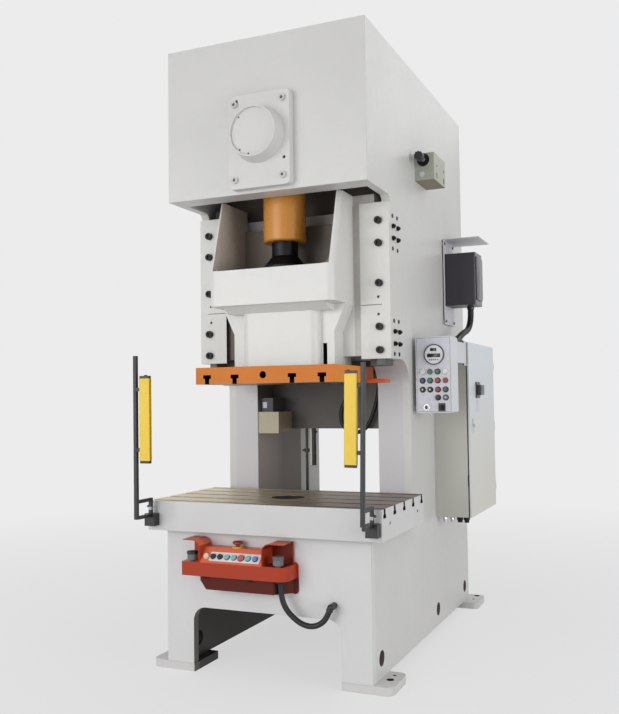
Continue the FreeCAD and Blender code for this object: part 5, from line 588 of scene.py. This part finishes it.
CURTAIN = paint("light_bar_yellow", srgb(238, 200, 36), rough=0.34, bevel=0.0015, zones=(
    # windows in the bars' flanks, and their end caps
    (lambda m: m.both(m.math("GREATER_THAN", m.math("ABSOLUTE", m.facing(0)), 0.8),
                      m.within(y=around(POST_Y, 4.0))), srgb(60, 54, 40), 0.25, 0.0),
    zone(srgb(52, 54, 52), 0.45, z=(BAR_Z1 - SKIN, None)),
    zone(DARK_RGB, 0.45, z=(None, BAR_Z0 + SKIN)),
))
ARMS = paint("curtain_arm_grey", srgb(34, 38, 37), rough=0.42, vary=0.08, bevel=0.0015, zones=(
    zone(srgb(150, 152, 152), 0.3, 0.8, y=(ARM_BOLT_Y0, None), z=ARM_BOLT_Z),
))
CONSOLE = paint("console_sheet", srgb(176, 64, 38), rough=0.36, shine=0.2, vary=0.05,
                bevel=0.0015, wear_color=srgb(110, 40, 26), zones=(
    # painted light: faces that look upward are a lighter red
    (lambda m: m.math("GREATER_THAN", m.facing(2), 0.3), srgb(228, 112, 76), 0.34, 0.0),
    # inside of the right guard and the tray below in painted shade, the tray's knobs and gland,
    # ring under the stop button
    zone(srgb(120, 38, 24), 0.42, x=GUARD_IN_X, y=(GUARD_IN_Y0, None), z=GUARD_IN_Z),
    zone(srgb(92, 28, 18), 0.42, z=(None, CONSOLE_Z0 - SKIN)),
    (lambda m: m.either(
        *[m.within(x=around(x, TRAY_KNOB_REACH), y=(None, TRAY_KNOB_Y1),
                   z=(None, CONSOLE_Z0 - SKIN)) for x in TRAY_KNOB_X],
        m.within(x=GLAND_X, y=GLAND_Y, z=(None, CONSOLE_Z0 - SKIN))), DARK_RGB, 0.4, 0.0),
    zone(srgb(232, 196, 60), 0.35, x=around(STOP_X, 32.0), y=around(STOP_Y, 32.0),
         z=(STOP_RING_Z, None)),
))
PALM_BLACK = plastic("palm_black", srgb(112, 113, 118), rough=0.4, zones=(
    zone(srgb(40, 40, 42), 0.35, z=(PALM_CAP_Z, None)),
))
PALM_GREY = plastic("palm_grey", srgb(108, 108, 114), rough=0.4, zones=(
    zone(srgb(92, 92, 98), 0.35, z=(PALM_CAP_Z, None)),
))
PANEL_BOX = paint("panel_box_grey", srgb(217, 219, 221), rough=0.42, bevel=0.002, zones=(
    # a line round the front, the face in it, the gauge's dial and ring, bezels, key's seat
    zone(srgb(150, 152, 158), 0.4, x=(PANEL_X[0] + 6.0, PANEL_X[1] - 6.0),
         y=(None, PANEL_Y + 0.4), z=(PANEL_Z[0] + 6.0, PANEL_Z[1] - 6.0)),
    zone(srgb(211, 212, 220), 0.36, x=(PANEL_X[0] + 9.0, PANEL_X[1] - 9.0),
         y=(None, PANEL_Y + 0.4), z=(PANEL_Z[0] + 9.0, PANEL_Z[1] - 9.0)),
    (lambda m: m.both(m.disc(GAUGE_X, GAUGE_Z, 0.0, 57.0), m.within(y=(None, PANEL_Y - 0.1))),
     srgb(226, 226, 230), 0.3, 0.0),
    (lambda m: m.both(m.disc(GAUGE_X, GAUGE_Z, 55.5, 63.0), m.within(y=(None, PANEL_Y - 0.1))),
     srgb(44, 62, 58), 0.4, 0.0),
    zone(srgb(84, 86, 88), 0.35, y=(None, PANEL_Y - 1.0), z=(None, PANEL_BEZEL_Z)),
    zone(srgb(52, 54, 56), 0.4, x=around(KEY_X, 22.0), y=(None, PANEL_Y + 0.4),
         z=(PANEL_Z[0] + 9.0, KEY_SEAT_Z1)),
))
SELECTOR = plastic("selector_pale", srgb(206, 207, 209), rough=0.3, zones=(
    zone(srgb(40, 40, 42), 0.35, y=(None, PANEL_Y - 12.5)),
))
BOX = paint("cabinet_paint", srgb(212, 214, 216), rough=0.4, bevel=0.002, zones=(
    # painted shade on the cabinet's front
    zone(CABINET_FRONT_SHADE, 0.42, y=(None, CABINET_Y0 + 1.0), side="front"),
    zone(srgb(58, 58, 54), 0.5, x=(CABINET_X1 - 7.0, None), y=(None, CABINET_Y0 + 1.0),
         side="front"),
    zone(srgb(36, 35, 36), 0.4, z=(CABINET_Z1 + SKIN, None)),           # conduit's fitting
))
DOOR = paint("door_white", srgb(218, 224, 228), rough=0.38, bevel=0.002, zones=(
    zone(DOOR_FRONT, 0.38, side="right"),
    zone(srgb(46, 48, 50), 0.35, x=(DOOR_X + SKIN, None), y=ISOLATOR_Y, z=ISOLATOR_Z),
    zone(srgb(196, 200, 202), 0.3, 0.5, x=(DOOR_X + SKIN, None), y=LOCK_Y, z=LOCK_Z),
))
HANDLE = plastic("isolator_grip", srgb(58, 60, 62), rough=0.3, zones=(
    zone(srgb(172, 174, 176), 0.3, 0.2, x=(GRIP_X0, None)),
))
BRACKET = paint("bracket_white", srgb(214, 212, 218), rough=0.4, bevel=0.002, zones=(
    (lambda m: m.either(m.within(x=(BRACKET_X + 0.4, None), z=(None, BRACKET_LOW_Z1)),
                        m.within(x=(BRACKET_X + 0.4, BRACKET_X + 10.0), z=BRACKET_TOP_Z)),
     DARK_RGB, 0.35, 0.0),                                              # screws
))
DRIVE = plastic("drive_unit_black", srgb(46, 42, 52), rough=0.4, zones=(
    zone(srgb(74, 72, 84), 0.24, side="right"),
))
VALVE = paint("valve_grey", srgb(178, 182, 166), rough=0.45, bevel=0.0015, zones=(
    # painted shade on the valve unit's underside
    zone(srgb(140, 132, 108), 0.5, z=(None, VALVE_Z0 + SKIN)),
))
VALVE_KNOB = plastic("valve_knob_black", srgb(40, 42, 44), rough=0.35, zones=(
    zone(srgb(186, 184, 182), 0.28, 0.5,
         y=(VALVE_SEAT_Y - VALVE_NECK_L + SKIN, VALVE_SEAT_Y)),
))
THROAT_BOX = plastic("throat_box_beige", srgb(190, 182, 158), rough=0.5, zones=(
    # painted shade on the box's right side
    zone(srgb(122, 106, 86), 0.5, z=(None, THROAT_BOX_Z1 + SKIN), side="right"),
    zone(srgb(52, 50, 50), 0.45, z=(THROAT_BOX_Z1 + SKIN, None)),       # sensor on the box
))
RODS = plastic("guide_rod_black", srgb(40, 39, 38), rough=0.35, zones=(
    zone(srgb(226, 220, 206), 0.45, x=HANGER_X, z=(HANGER_Z0, None)),
))

BY_SLOT = {
    "frame_white": WHITE, "frame_inside": INSIDE, "machined_steel": STEEL, "dark_steel": DARK,
    "bronze": BRONZE, "cast_grey": CAST, "belt_rubber": BELT, "cord_black": CORD,
    "cabinet_white": CABINET, "valve_grey": VALVE, "button_green": B_GREEN,
    "beige_plastic": BEIGE,
}
BY_NODE = {
    "bed_plate": BED, "side_plate_left": SIDE, "side_plate_right": SIDE,
    "base_front": FRONT_BASE, "base_rear": REAR_BASE, "foot_plates": FEET, "columns": COLUMNS,
    "cross_beam": BEAM, "bolster": BOLSTER, "slide_plate": PLATE, "connecting_rod": BARREL,
    "slide_body": SLIDE, "gib_plates": GIB, "frame_screws": SCREWS, "crank_cover": COVER,
    "light_bar_left": CURTAIN, "light_bar_right": CURTAIN, "curtain_arm_left": ARMS,
    "curtain_arm_right": ARMS, "console": CONSOLE, "console_stop": STOP,
    "palm_button_left": PALM_BLACK, "palm_button_right": PALM_GREY, "panel_box": PANEL_BOX,
    "panel_knob": SELECTOR, "panel_key": B_BLACK, "stop_button": STOP, "cabinet": BOX,
    "cabinet_door": DOOR, "isolator_handle": HANDLE, "inverter_bracket": BRACKET,
    "inverter_box": DRIVE, "valve_knob": VALVE_KNOB, "throat_box": THROAT_BOX,
    "guide_rod": RODS,
}
for part in frame["record"]["subparts"]:
    node = NODES[part["node"]]
    node.data.materials.clear()
    node.data.materials.append(BY_NODE.get(part["node"]) or BY_SLOT[part["material_slot"]])

# ---- cords: routes in mm, diameters in m -----------------------------------------------------
CABLE_D = 0.030
CABLE_ROUTE = [P(*p) for p in (
    (134.0, -392.0, 546.0), (134.0, -392.0, 482.0), (163.0, -389.0, 408.0),
    (226.0, -384.0, 353.0), (277.0, -380.0, 333.0), (318.0, -376.0, 334.0),
    (355.0, -372.0, 350.0), (383.5, -369.0, 379.5), (399.0, -367.0, 416.0),
)]
CONDUIT_D = 0.042
CONDUIT_ROUTE = [P(*p) for p in (
    (770.0, 1400.0, 2127.0), (770.0, 1400.0, 2083.0), (769.0, 1386.5, 2041.0),
    (767.0, 1360.5, 2005.5), (764.5, 1325.0, 1980.0), (762.0, 1283.0, 1965.0),
    (758.5, 1226.0, 1951.0), (754.5, 1162.0, 1930.5), (751.0, 1102.0, 1905.0),
)]
HOSE_D = 0.026
HOSE_ROUTE = [P(*p) for p in (
    (170.0, 600.0, 1621.0), (170.0, 600.0, 1580.0), (150.0, 598.0, 1532.0),
    (122.0, 596.0, 1484.0), (103.0, 595.0, 1434.0), (102.0, 596.0, 1378.0),
    (126.0, 598.0, 1329.0), (172.0, 600.0, 1301.0), (226.0, 602.0, 1302.0),
    (273.0, 604.0, 1331.0), (303.0, 604.0, 1383.0), (328.0, 603.0, 1448.0),
    (347.0, 602.0, 1515.0), (358.0, 600.0, 1575.0), (358.0, 600.0, 1621.0),
)]
cable = nurbs("console_cable_cord", CABLE_ROUTE, CABLE_D, "frame", CORD)
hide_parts("console_cable")
conduit = nurbs("conduit_cord", CONDUIT_ROUTE, CONDUIT_D, "frame", CORD)
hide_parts("conduit")
hose = nurbs("throat_hose_cord", HOSE_ROUTE, HOSE_D, "frame", CORD)
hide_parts("throat_hose")

# ---- small pieces ----------------------------------------------------------------------------
AXES = {"X": Vector((1, 0, 0)), "-Y": Vector((0, -1, 0)), "Z": Vector((0, 0, 1))}
SHARP = math.radians(32)    # edges turned more than this stay sharp


def direction(axis):
    return AXES[axis] if isinstance(axis, str) else axis


def turned(name, at, axis, profile, body, mat, sides=40, ribs=None):
    """A turned piece. profile lists (radius, height) in mm from the foot up, along axis."""
    bm = bmesh.new()
    up = direction(axis)
    a = up.orthogonal().normalized()
    b = up.cross(a)
    centre = P(*at)
    rings = []
    for radius, height in profile:
        foot = centre + up * (height / 1000.0)
        if radius <= 0.0:
            rings.append([bm.verts.new(foot)])
            continue
        ring = []
        for k in range(sides):
            turn = 2 * math.pi * k / sides
            r = radius / 1000.0 * (ribs(turn) if ribs else 1.0)
            ring.append(bm.verts.new(foot + a * (r * math.cos(turn)) + b * (r * math.sin(turn))))
        rings.append(ring)
    for low, high in zip(rings, rings[1:]):
        for k in range(sides):
            n = (k + 1) % sides
            if len(high) == 1:
                bm.faces.new((low[k], low[n], high[0]))
            else:
                bm.faces.new((low[k], low[n], high[n], high[k]))
    for ring in (rings[0], rings[-1]):
        if len(ring) > 1:
            bm.faces.new(ring)
    return finished(name, bm, body, mat)


def slab(name, corners, axis, depth, body, mat, bevel=1.0):
    """A flat piece with rounded edges. corners in mm in order, depth along axis."""
    bm = bmesh.new()
    up = direction(axis)
    low = [bm.verts.new(P(*c)) for c in corners]
    high = [bm.verts.new(P(*c) + up * (depth / 1000.0)) for c in corners]
    bm.faces.new(low)
    bm.faces.new(high)
    for k in range(len(low)):
        n = (k + 1) % len(low)
        bm.faces.new((low[k], low[n], high[n], high[k]))
    bmesh.ops.bevel(bm, geom=list(bm.edges), offset=bevel / 1000.0, segments=2, profile=0.6,
                    affect="EDGES", clamp_overlap=True)
    return finished(name, bm, body, mat)


def finished(name, bm, body, mat):
    bmesh.ops.recalc_face_normals(bm, faces=list(bm.faces))
    mesh = bpy.data.meshes.new(name)
    bm.to_mesh(mesh)
    bm.free()
    mesh.shade_smooth()
    mesh.set_sharp_from_angle(angle=SHARP)
    piece = link(name, mesh, body, mat)
    return piece


def rounded(u, v, r, place):
    """Corners of a rectangle with corner radius r, each given by place(u, v)."""
    (u0, u1), (v0, v1) = u, v
    if r <= 0:
        return [place(u0, v0), place(u1, v0), place(u1, v1), place(u0, v1)]
    out = []
    for cu, cv, start in ((u1 - r, v0 + r, -90), (u1 - r, v1 - r, 0), (u0 + r, v1 - r, 90),
                          (u0 + r, v0 + r, 180)):
        for k in range(7):
            turn = math.radians(start + 15 * k)
            out.append(place(cu + r * math.cos(turn), cv + r * math.sin(turn)))
    return out


def plate_xz(name, x, z, y, depth, body, mat, bevel=1.0, corner=0.0):
    """A plate on a face that looks along -Y."""
    corners = rounded(x, z, corner, lambda u, v: (u, y, v))
    return slab(name, corners, "-Y", depth, body, mat, bevel)


def plate_yz(name, y, z, x, depth, body, mat, bevel=1.0, corner=0.0):
    """A plate on a face that looks along +X."""
    corners = rounded(y, z, corner, lambda u, v: (x, u, v))
    return slab(name, corners, "X", depth, body, mat, bevel)


# operator panel: caps with their rims, lamps in three of them, the gauge, key and selector
PANEL_RIM = ((18, 0), (18, 2.5), (17, 4.5), (14.5, 5), (14.5, 3))
PANEL_CAP = ((14.3, 0), (14.3, 4.2), (13.6, 5.4), (9, 6.2), (0, 6.5))
PANEL_EYE = ((5, 0), (5, 0.8), (4, 1.2), (0, 1.4))
CAP_SEAT = 4.0              # foot of a cap in front of the panel
EYE_SEAT = 10.2
for col, row, mat, slot in (
        (0, 0, B_WHITE, "beige_plastic"), (2, 0, B_GREEN, "button_green"),
        (3, 0, B_WHITE, "beige_plastic"), (0, 1, B_BLUE, "button_black"),
        (1, 1, B_GREEN, "button_green"), (2, 1, B_RED, "button_red"),
        (0, 2, B_BLACK, "button_black"), (1, 2, B_BLACK, "button_black"),
        (2, 2, STOP, "button_red"), (3, 2, B_DULL, "button_black"),
        (2, 3, B_BLACK, "button_black"), (3, 3, B_GREY, "button_grey")):
    x, z = PANEL_COLS[col], PANEL_ROWS[row]
    name = "panel_%d_%d" % (col, row)
    rim = BRIGHT if slot == "beige_plastic" else DARK
    turned(name + "_rim", (x, PANEL_Y, z), "-Y", PANEL_RIM, "panel", rim)
    turned(name + "_cap", (x, PANEL_Y - CAP_SEAT, z), "-Y", PANEL_CAP, "panel", mat)
for name, col, row in (("0", 0, 2), ("1", 1, 2), ("last", 3, 3)):
    turned("panel_eye_" + name, (PANEL_COLS[col], PANEL_Y - EYE_SEAT, PANEL_ROWS[row]), "-Y",
           PANEL_EYE, "panel", LENS, 24)
DIAL_Y = PANEL_Y - 6.0
for name, x, z in (("gauge_small_display", (-22, 16), (20, 38)),
                   ("gauge_wide_display", (-41, 39), (-17, 5))):
    plate_xz(name, (GAUGE_X + x[0], GAUGE_X + x[1]), (GAUGE_Z + z[0], GAUGE_Z + z[1]), DIAL_Y,
             2.0, "panel", GLASS, 0.8, 2.0)
for k, dx in enumerate((-26, -15, -4, 8, 22)):
    mat, slot = (GLASS, "button_black") if k < 3 else (B_RED, "button_red")
    turned("gauge_lamp_%d" % k, (GAUGE_X + dx, DIAL_Y, GAUGE_Z - 32), "-Y",
           ((4, 0), (4, 1.2), (3, 2), (0, 2.2)), "panel", mat, 20)
turned("key_rosette", (KEY_X, PANEL_Y - CAP_SEAT, PANEL_LOW_Z), "-Y",
       ((16, 0), (16, 1), (14.5, 2), (9.6, 2)), "panel", DARK)
turned("selector_rim", (SELECTOR_X, PANEL_Y, PANEL_LOW_Z), "-Y",
       ((19, 0), (19, 3), (18, 4.2), (14, 4.2)), "panel", BRIGHT)

# console: strip and caps on the slope, ribbed sleeves and crowns of the buttons
SLOPE_FOOT = Vector((0, -451, 638))
SLOPE = Vector((0, 66, 74)).normalized()
SLOPE_OUT = Vector((0, -74, 66)).normalized()
CAPS_X0, CAPS_PITCH, CAPS_UP = -296.0, 42.5, 39.7


def on_slope(x, up, out=0.0):
    foot = SLOPE_FOOT + SLOPE * up + SLOPE_OUT * out
    return (x, foot.y, foot.z)


slab("console_strip", rounded((-275, 30), (14, 70), 5, lambda u, v: on_slope(u, v, -0.6)),
     SLOPE_OUT, 1.8, "frame", STRIP, 0.5)
for k, (mat, slot, r) in enumerate((
        (B_CREAM, "beige_plastic", 14.5), (B_BLACK, "button_black", 14.5),
        (B_BLACK, "button_black", 14.5), (B_TEAL, "button_green", 14.5),
        (B_TEAL, "button_green", 14.5), (B_ROSE, "button_red", 18.0),
        (B_TEAL, "button_green", 14.5), (B_SKY, "button_grey", 14.5))):
    at = on_slope(CAPS_X0 + CAPS_PITCH * k, CAPS_UP)
    turned("console_%d_rim" % k, at, SLOPE_OUT,
           ((r + 2, -1), (r + 2, 3), (r + 1, 5), (r, 5.5)), "frame",
           B_BLACK if k else B_CREAM)
    turned("console_%d_cap" % k, at, SLOPE_OUT,
           ((r, 1), (r, 11), (r - 1.5, 13), (r - 6, 14), (0, 14.5)), "frame", mat)
for side, x in PALM_X:
    turned("palm_sleeve_" + side, (x, PALM_Y, PALM_SLEEVE_Z), "Z",
           ((24.9, 0), (27, 1), (27, 30), (25, 32)), "palm_button_" + side, B_GREY,
           96, lambda turn: 1 + 0.03 * math.cos(24 * turn))
for (side, x), mat, slot in zip(PALM_X, (B_BLACK, B_GREY), ("button_black", "button_grey")):
    turned("palm_crown_" + side, (x, PALM_Y, PALM_CROWN_Z), "Z",
           ((30.6, 0), (30.2, 2), (27, 4), (14, 5.4), (0, 6)), "palm_button_" + side, mat,
           48)
turned("stop_crown", (STOP_X, STOP_Y, STOP_CROWN_Z), "Z",
       ((27.6, 0), (27.8, 2), (25, 4.5), (12, 7), (0, 7.6)), "console_stop", STOP,
       48)

# valve unit
turned("valve_ring", (VALVE_KNOB_X, VALVE_SEAT_Y, VALVE_KNOB_Z), "-Y",
       ((39, -3), (40, -2), (40, 1), (38, 2), (26, 2)), "frame", DARK)
turned("valve_lens", (VALVE_LENS_X, VALVE_Y - 4.0, VALVE_LENS_Z), "-Y",
       ((17.6, 0), (17, 2), (11, 4), (0, 5)), "frame", LENS)
for k, (y, z, high) in enumerate(((676, 2967, 12), (676, 2906, 38), (841, 2967, 14),
                                  (841, 2906, 36))):
    plate_yz("valve_port_%d" % k, around(y, 7), around(z, high / 2), VALVE_X, 1.4, "frame",
             PORT, 0.6, 3.0)

# cabinet: strip in the gap behind it, cable glands, catch and tag of the door
plate_xz("cabinet_back_strip", (FRAME_HALF_W + 0.4, 625.7),
         (CABINET_Z0 + 1.0, CABINET_Z1 - 1.0), 952.0, 5.0, "frame", BOX, 0.6)
for k, (x, r) in enumerate(((668, 15), (716, 15), (768, 18), (812, 18))):
    mat, slot, sides = (BRIGHT, "bright_steel", 6) if k < 2 else (DARK, "dark_steel", 32)
    turned("cabinet_gland_%d" % k, (x, CABLE_GLAND_Y, CABINET_Z0 - 1.0), "Z",
           ((r - 3, -34), (r - 2, -18), (r + 2, -17), (r + 2, -4), (r, 0)), "frame", mat,
           sides)
plate_xz("door_catch", (CABINET_X1 - 7.0, CABINET_X1), (945.0, 1015.0), CABINET_Y0, 3.0,
         "frame", DARK, 0.8)
plate_yz("door_tag", (1150, 1236), (1418, 1498), DOOR_X, 1.2, "cabinet_door", TAG,
         0.4, 5.0)

# sensor in the throat, inverter, light bars
plate_xz("sensor_plate", (-392, -362), (1462, 1500), SENSOR_Y, 1.2, "frame", TAG,
         0.4, 2.0)
plate_yz("drive_cover", (1262, 1448), (2180, 2478), INVERTER_X, 7.0, "frame", DRIVE,
         6.0, 24.0)
for side, x in (("left", -BAR_X), ("right", BAR_X)):
    turned("bar_nub_" + side, (x, POST_Y, BAR_Z1 + 13.0), "Z",
           ((9, -2), (9, 4), (7.5, 6), (0, 6.4)), "frame", DARK, 24)


# ---- stage and light -------------------------------------------------------------------------
PALE = srgb(236, 236, 236)
FLOOR_HALF = 60.0
FLOOR_FADE = (1.5, 7.0, 0.72, 1.0)      # from and to a distance, share of plain glow there
SOFT_RGB, SOFT_LEVEL = (0.80, 0.81, 0.83, 1.0), 0.60
LAMPS = (
    # name, place, target, size in m, power in W
    ("key", (-3.2, -9.0, 2.6), (0, -0.6, 1.0), (6, 4.6), 300),
    ("fill", (8.0, -3.0, 1.8), (0.3, 0.0, 0.9), (4, 3.4), 175),
    ("back", (2.0, 6.5, 6.5), (0, 0.3, 2.0), (5, 3), 60),
)


def add_stage():
    mesh = bpy.data.meshes.new("floor")
    s = FLOOR_HALF
    mesh.from_pydata([(-s, -s, 0), (s, -s, 0), (s, s, 0), (-s, s, 0)], [], [(0, 1, 2, 3)])
    ob = bpy.data.objects.new("floor", mesh)
    bpy.context.scene.collection.objects.link(ob)
    mat = bpy.data.materials.new("pale_floor")
    mat.use_nodes = True
    t = mat.node_tree
    t.nodes.clear()
    out = t.nodes.new("ShaderNodeOutputMaterial")
    diffuse = t.nodes.new("ShaderNodeBsdfDiffuse")
    diffuse.inputs[0].default_value = srgb(225, 225, 225)
    glow = t.nodes.new("ShaderNodeEmission")
    glow.inputs[0].default_value = PALE
    mix = t.nodes.new("ShaderNodeMixShader")
    path = t.nodes.new("ShaderNodeLightPath")
    share = t.nodes.new("ShaderNodeMath")
    share.operation = "MULTIPLY"
    # far from the press the floor is as bright as the backdrop, near it shows its soft shadow
    place = t.nodes.new("ShaderNodeNewGeometry")
    length = t.nodes.new("ShaderNodeVectorMath")
    length.operation = "LENGTH"
    t.links.new(place.outputs["Position"], length.inputs[0])
    nearness = t.nodes.new("ShaderNodeMapRange")
    for key, value in zip(("From Min", "From Max", "To Min", "To Max"), FLOOR_FADE):
        nearness.inputs[key].default_value = value
    t.links.new(length.outputs["Value"], nearness.inputs["Value"])
    t.links.new(nearness.outputs[0], share.inputs[1])
    seen = t.nodes.new("ShaderNodeMath")
    seen.operation = "ADD"
    t.links.new(path.outputs["Is Camera Ray"], seen.inputs[0])
    t.links.new(path.outputs["Is Glossy Ray"], seen.inputs[1])
    t.links.new(seen.outputs[0], share.inputs[0])
    t.links.new(share.outputs[0], mix.inputs[0])
    t.links.new(diffuse.outputs[0], mix.inputs[1])
    t.links.new(glow.outputs[0], mix.inputs[2])
    t.links.new(mix.outputs[0], out.inputs[0])
    mesh.materials.append(mat)


def add_world():
    world = bpy.data.worlds.new("studio")
    bpy.context.scene.world = world
    world.use_nodes = True
    t = world.node_tree
    t.nodes.clear()
    out = t.nodes.new("ShaderNodeOutputWorld")
    soft = t.nodes.new("ShaderNodeBackground")
    soft.inputs[0].default_value = SOFT_RGB
    soft.inputs[1].default_value = SOFT_LEVEL
    seen = t.nodes.new("ShaderNodeBackground")
    seen.inputs[0].default_value = PALE
    seen.inputs[1].default_value = 1.0
    path = t.nodes.new("ShaderNodeLightPath")
    total = path.outputs["Is Camera Ray"]
    for name in ("Is Glossy Ray", "Is Transmission Ray"):
        add = t.nodes.new("ShaderNodeMath")
        add.operation = "ADD"
        add.use_clamp = True
        t.links.new(total, add.inputs[0])
        t.links.new(path.outputs[name], add.inputs[1])
        total = add.outputs[0]
    mix = t.nodes.new("ShaderNodeMixShader")
    t.links.new(total, mix.inputs[0])
    t.links.new(soft.outputs[0], mix.inputs[1])
    t.links.new(seen.outputs[0], mix.inputs[2])
    t.links.new(mix.outputs[0], out.inputs[0])


def add_light(name, at, target, size, watts):
    data = bpy.data.lights.new(name, "AREA")
    data.shape = "RECTANGLE"
    data.size, data.size_y = size
    data.energy = watts
    ob = bpy.data.objects.new(name, data)
    bpy.context.scene.collection.objects.link(ob)
    ob.location = at
    ob.rotation_euler = (Vector(target) - Vector(at)).to_track_quat("-Z", "Y").to_euler()


add_stage()
add_world()
for lamp in LAMPS:
    add_light(*lamp)
bpy.context.scene.view_settings.view_transform = "Standard"
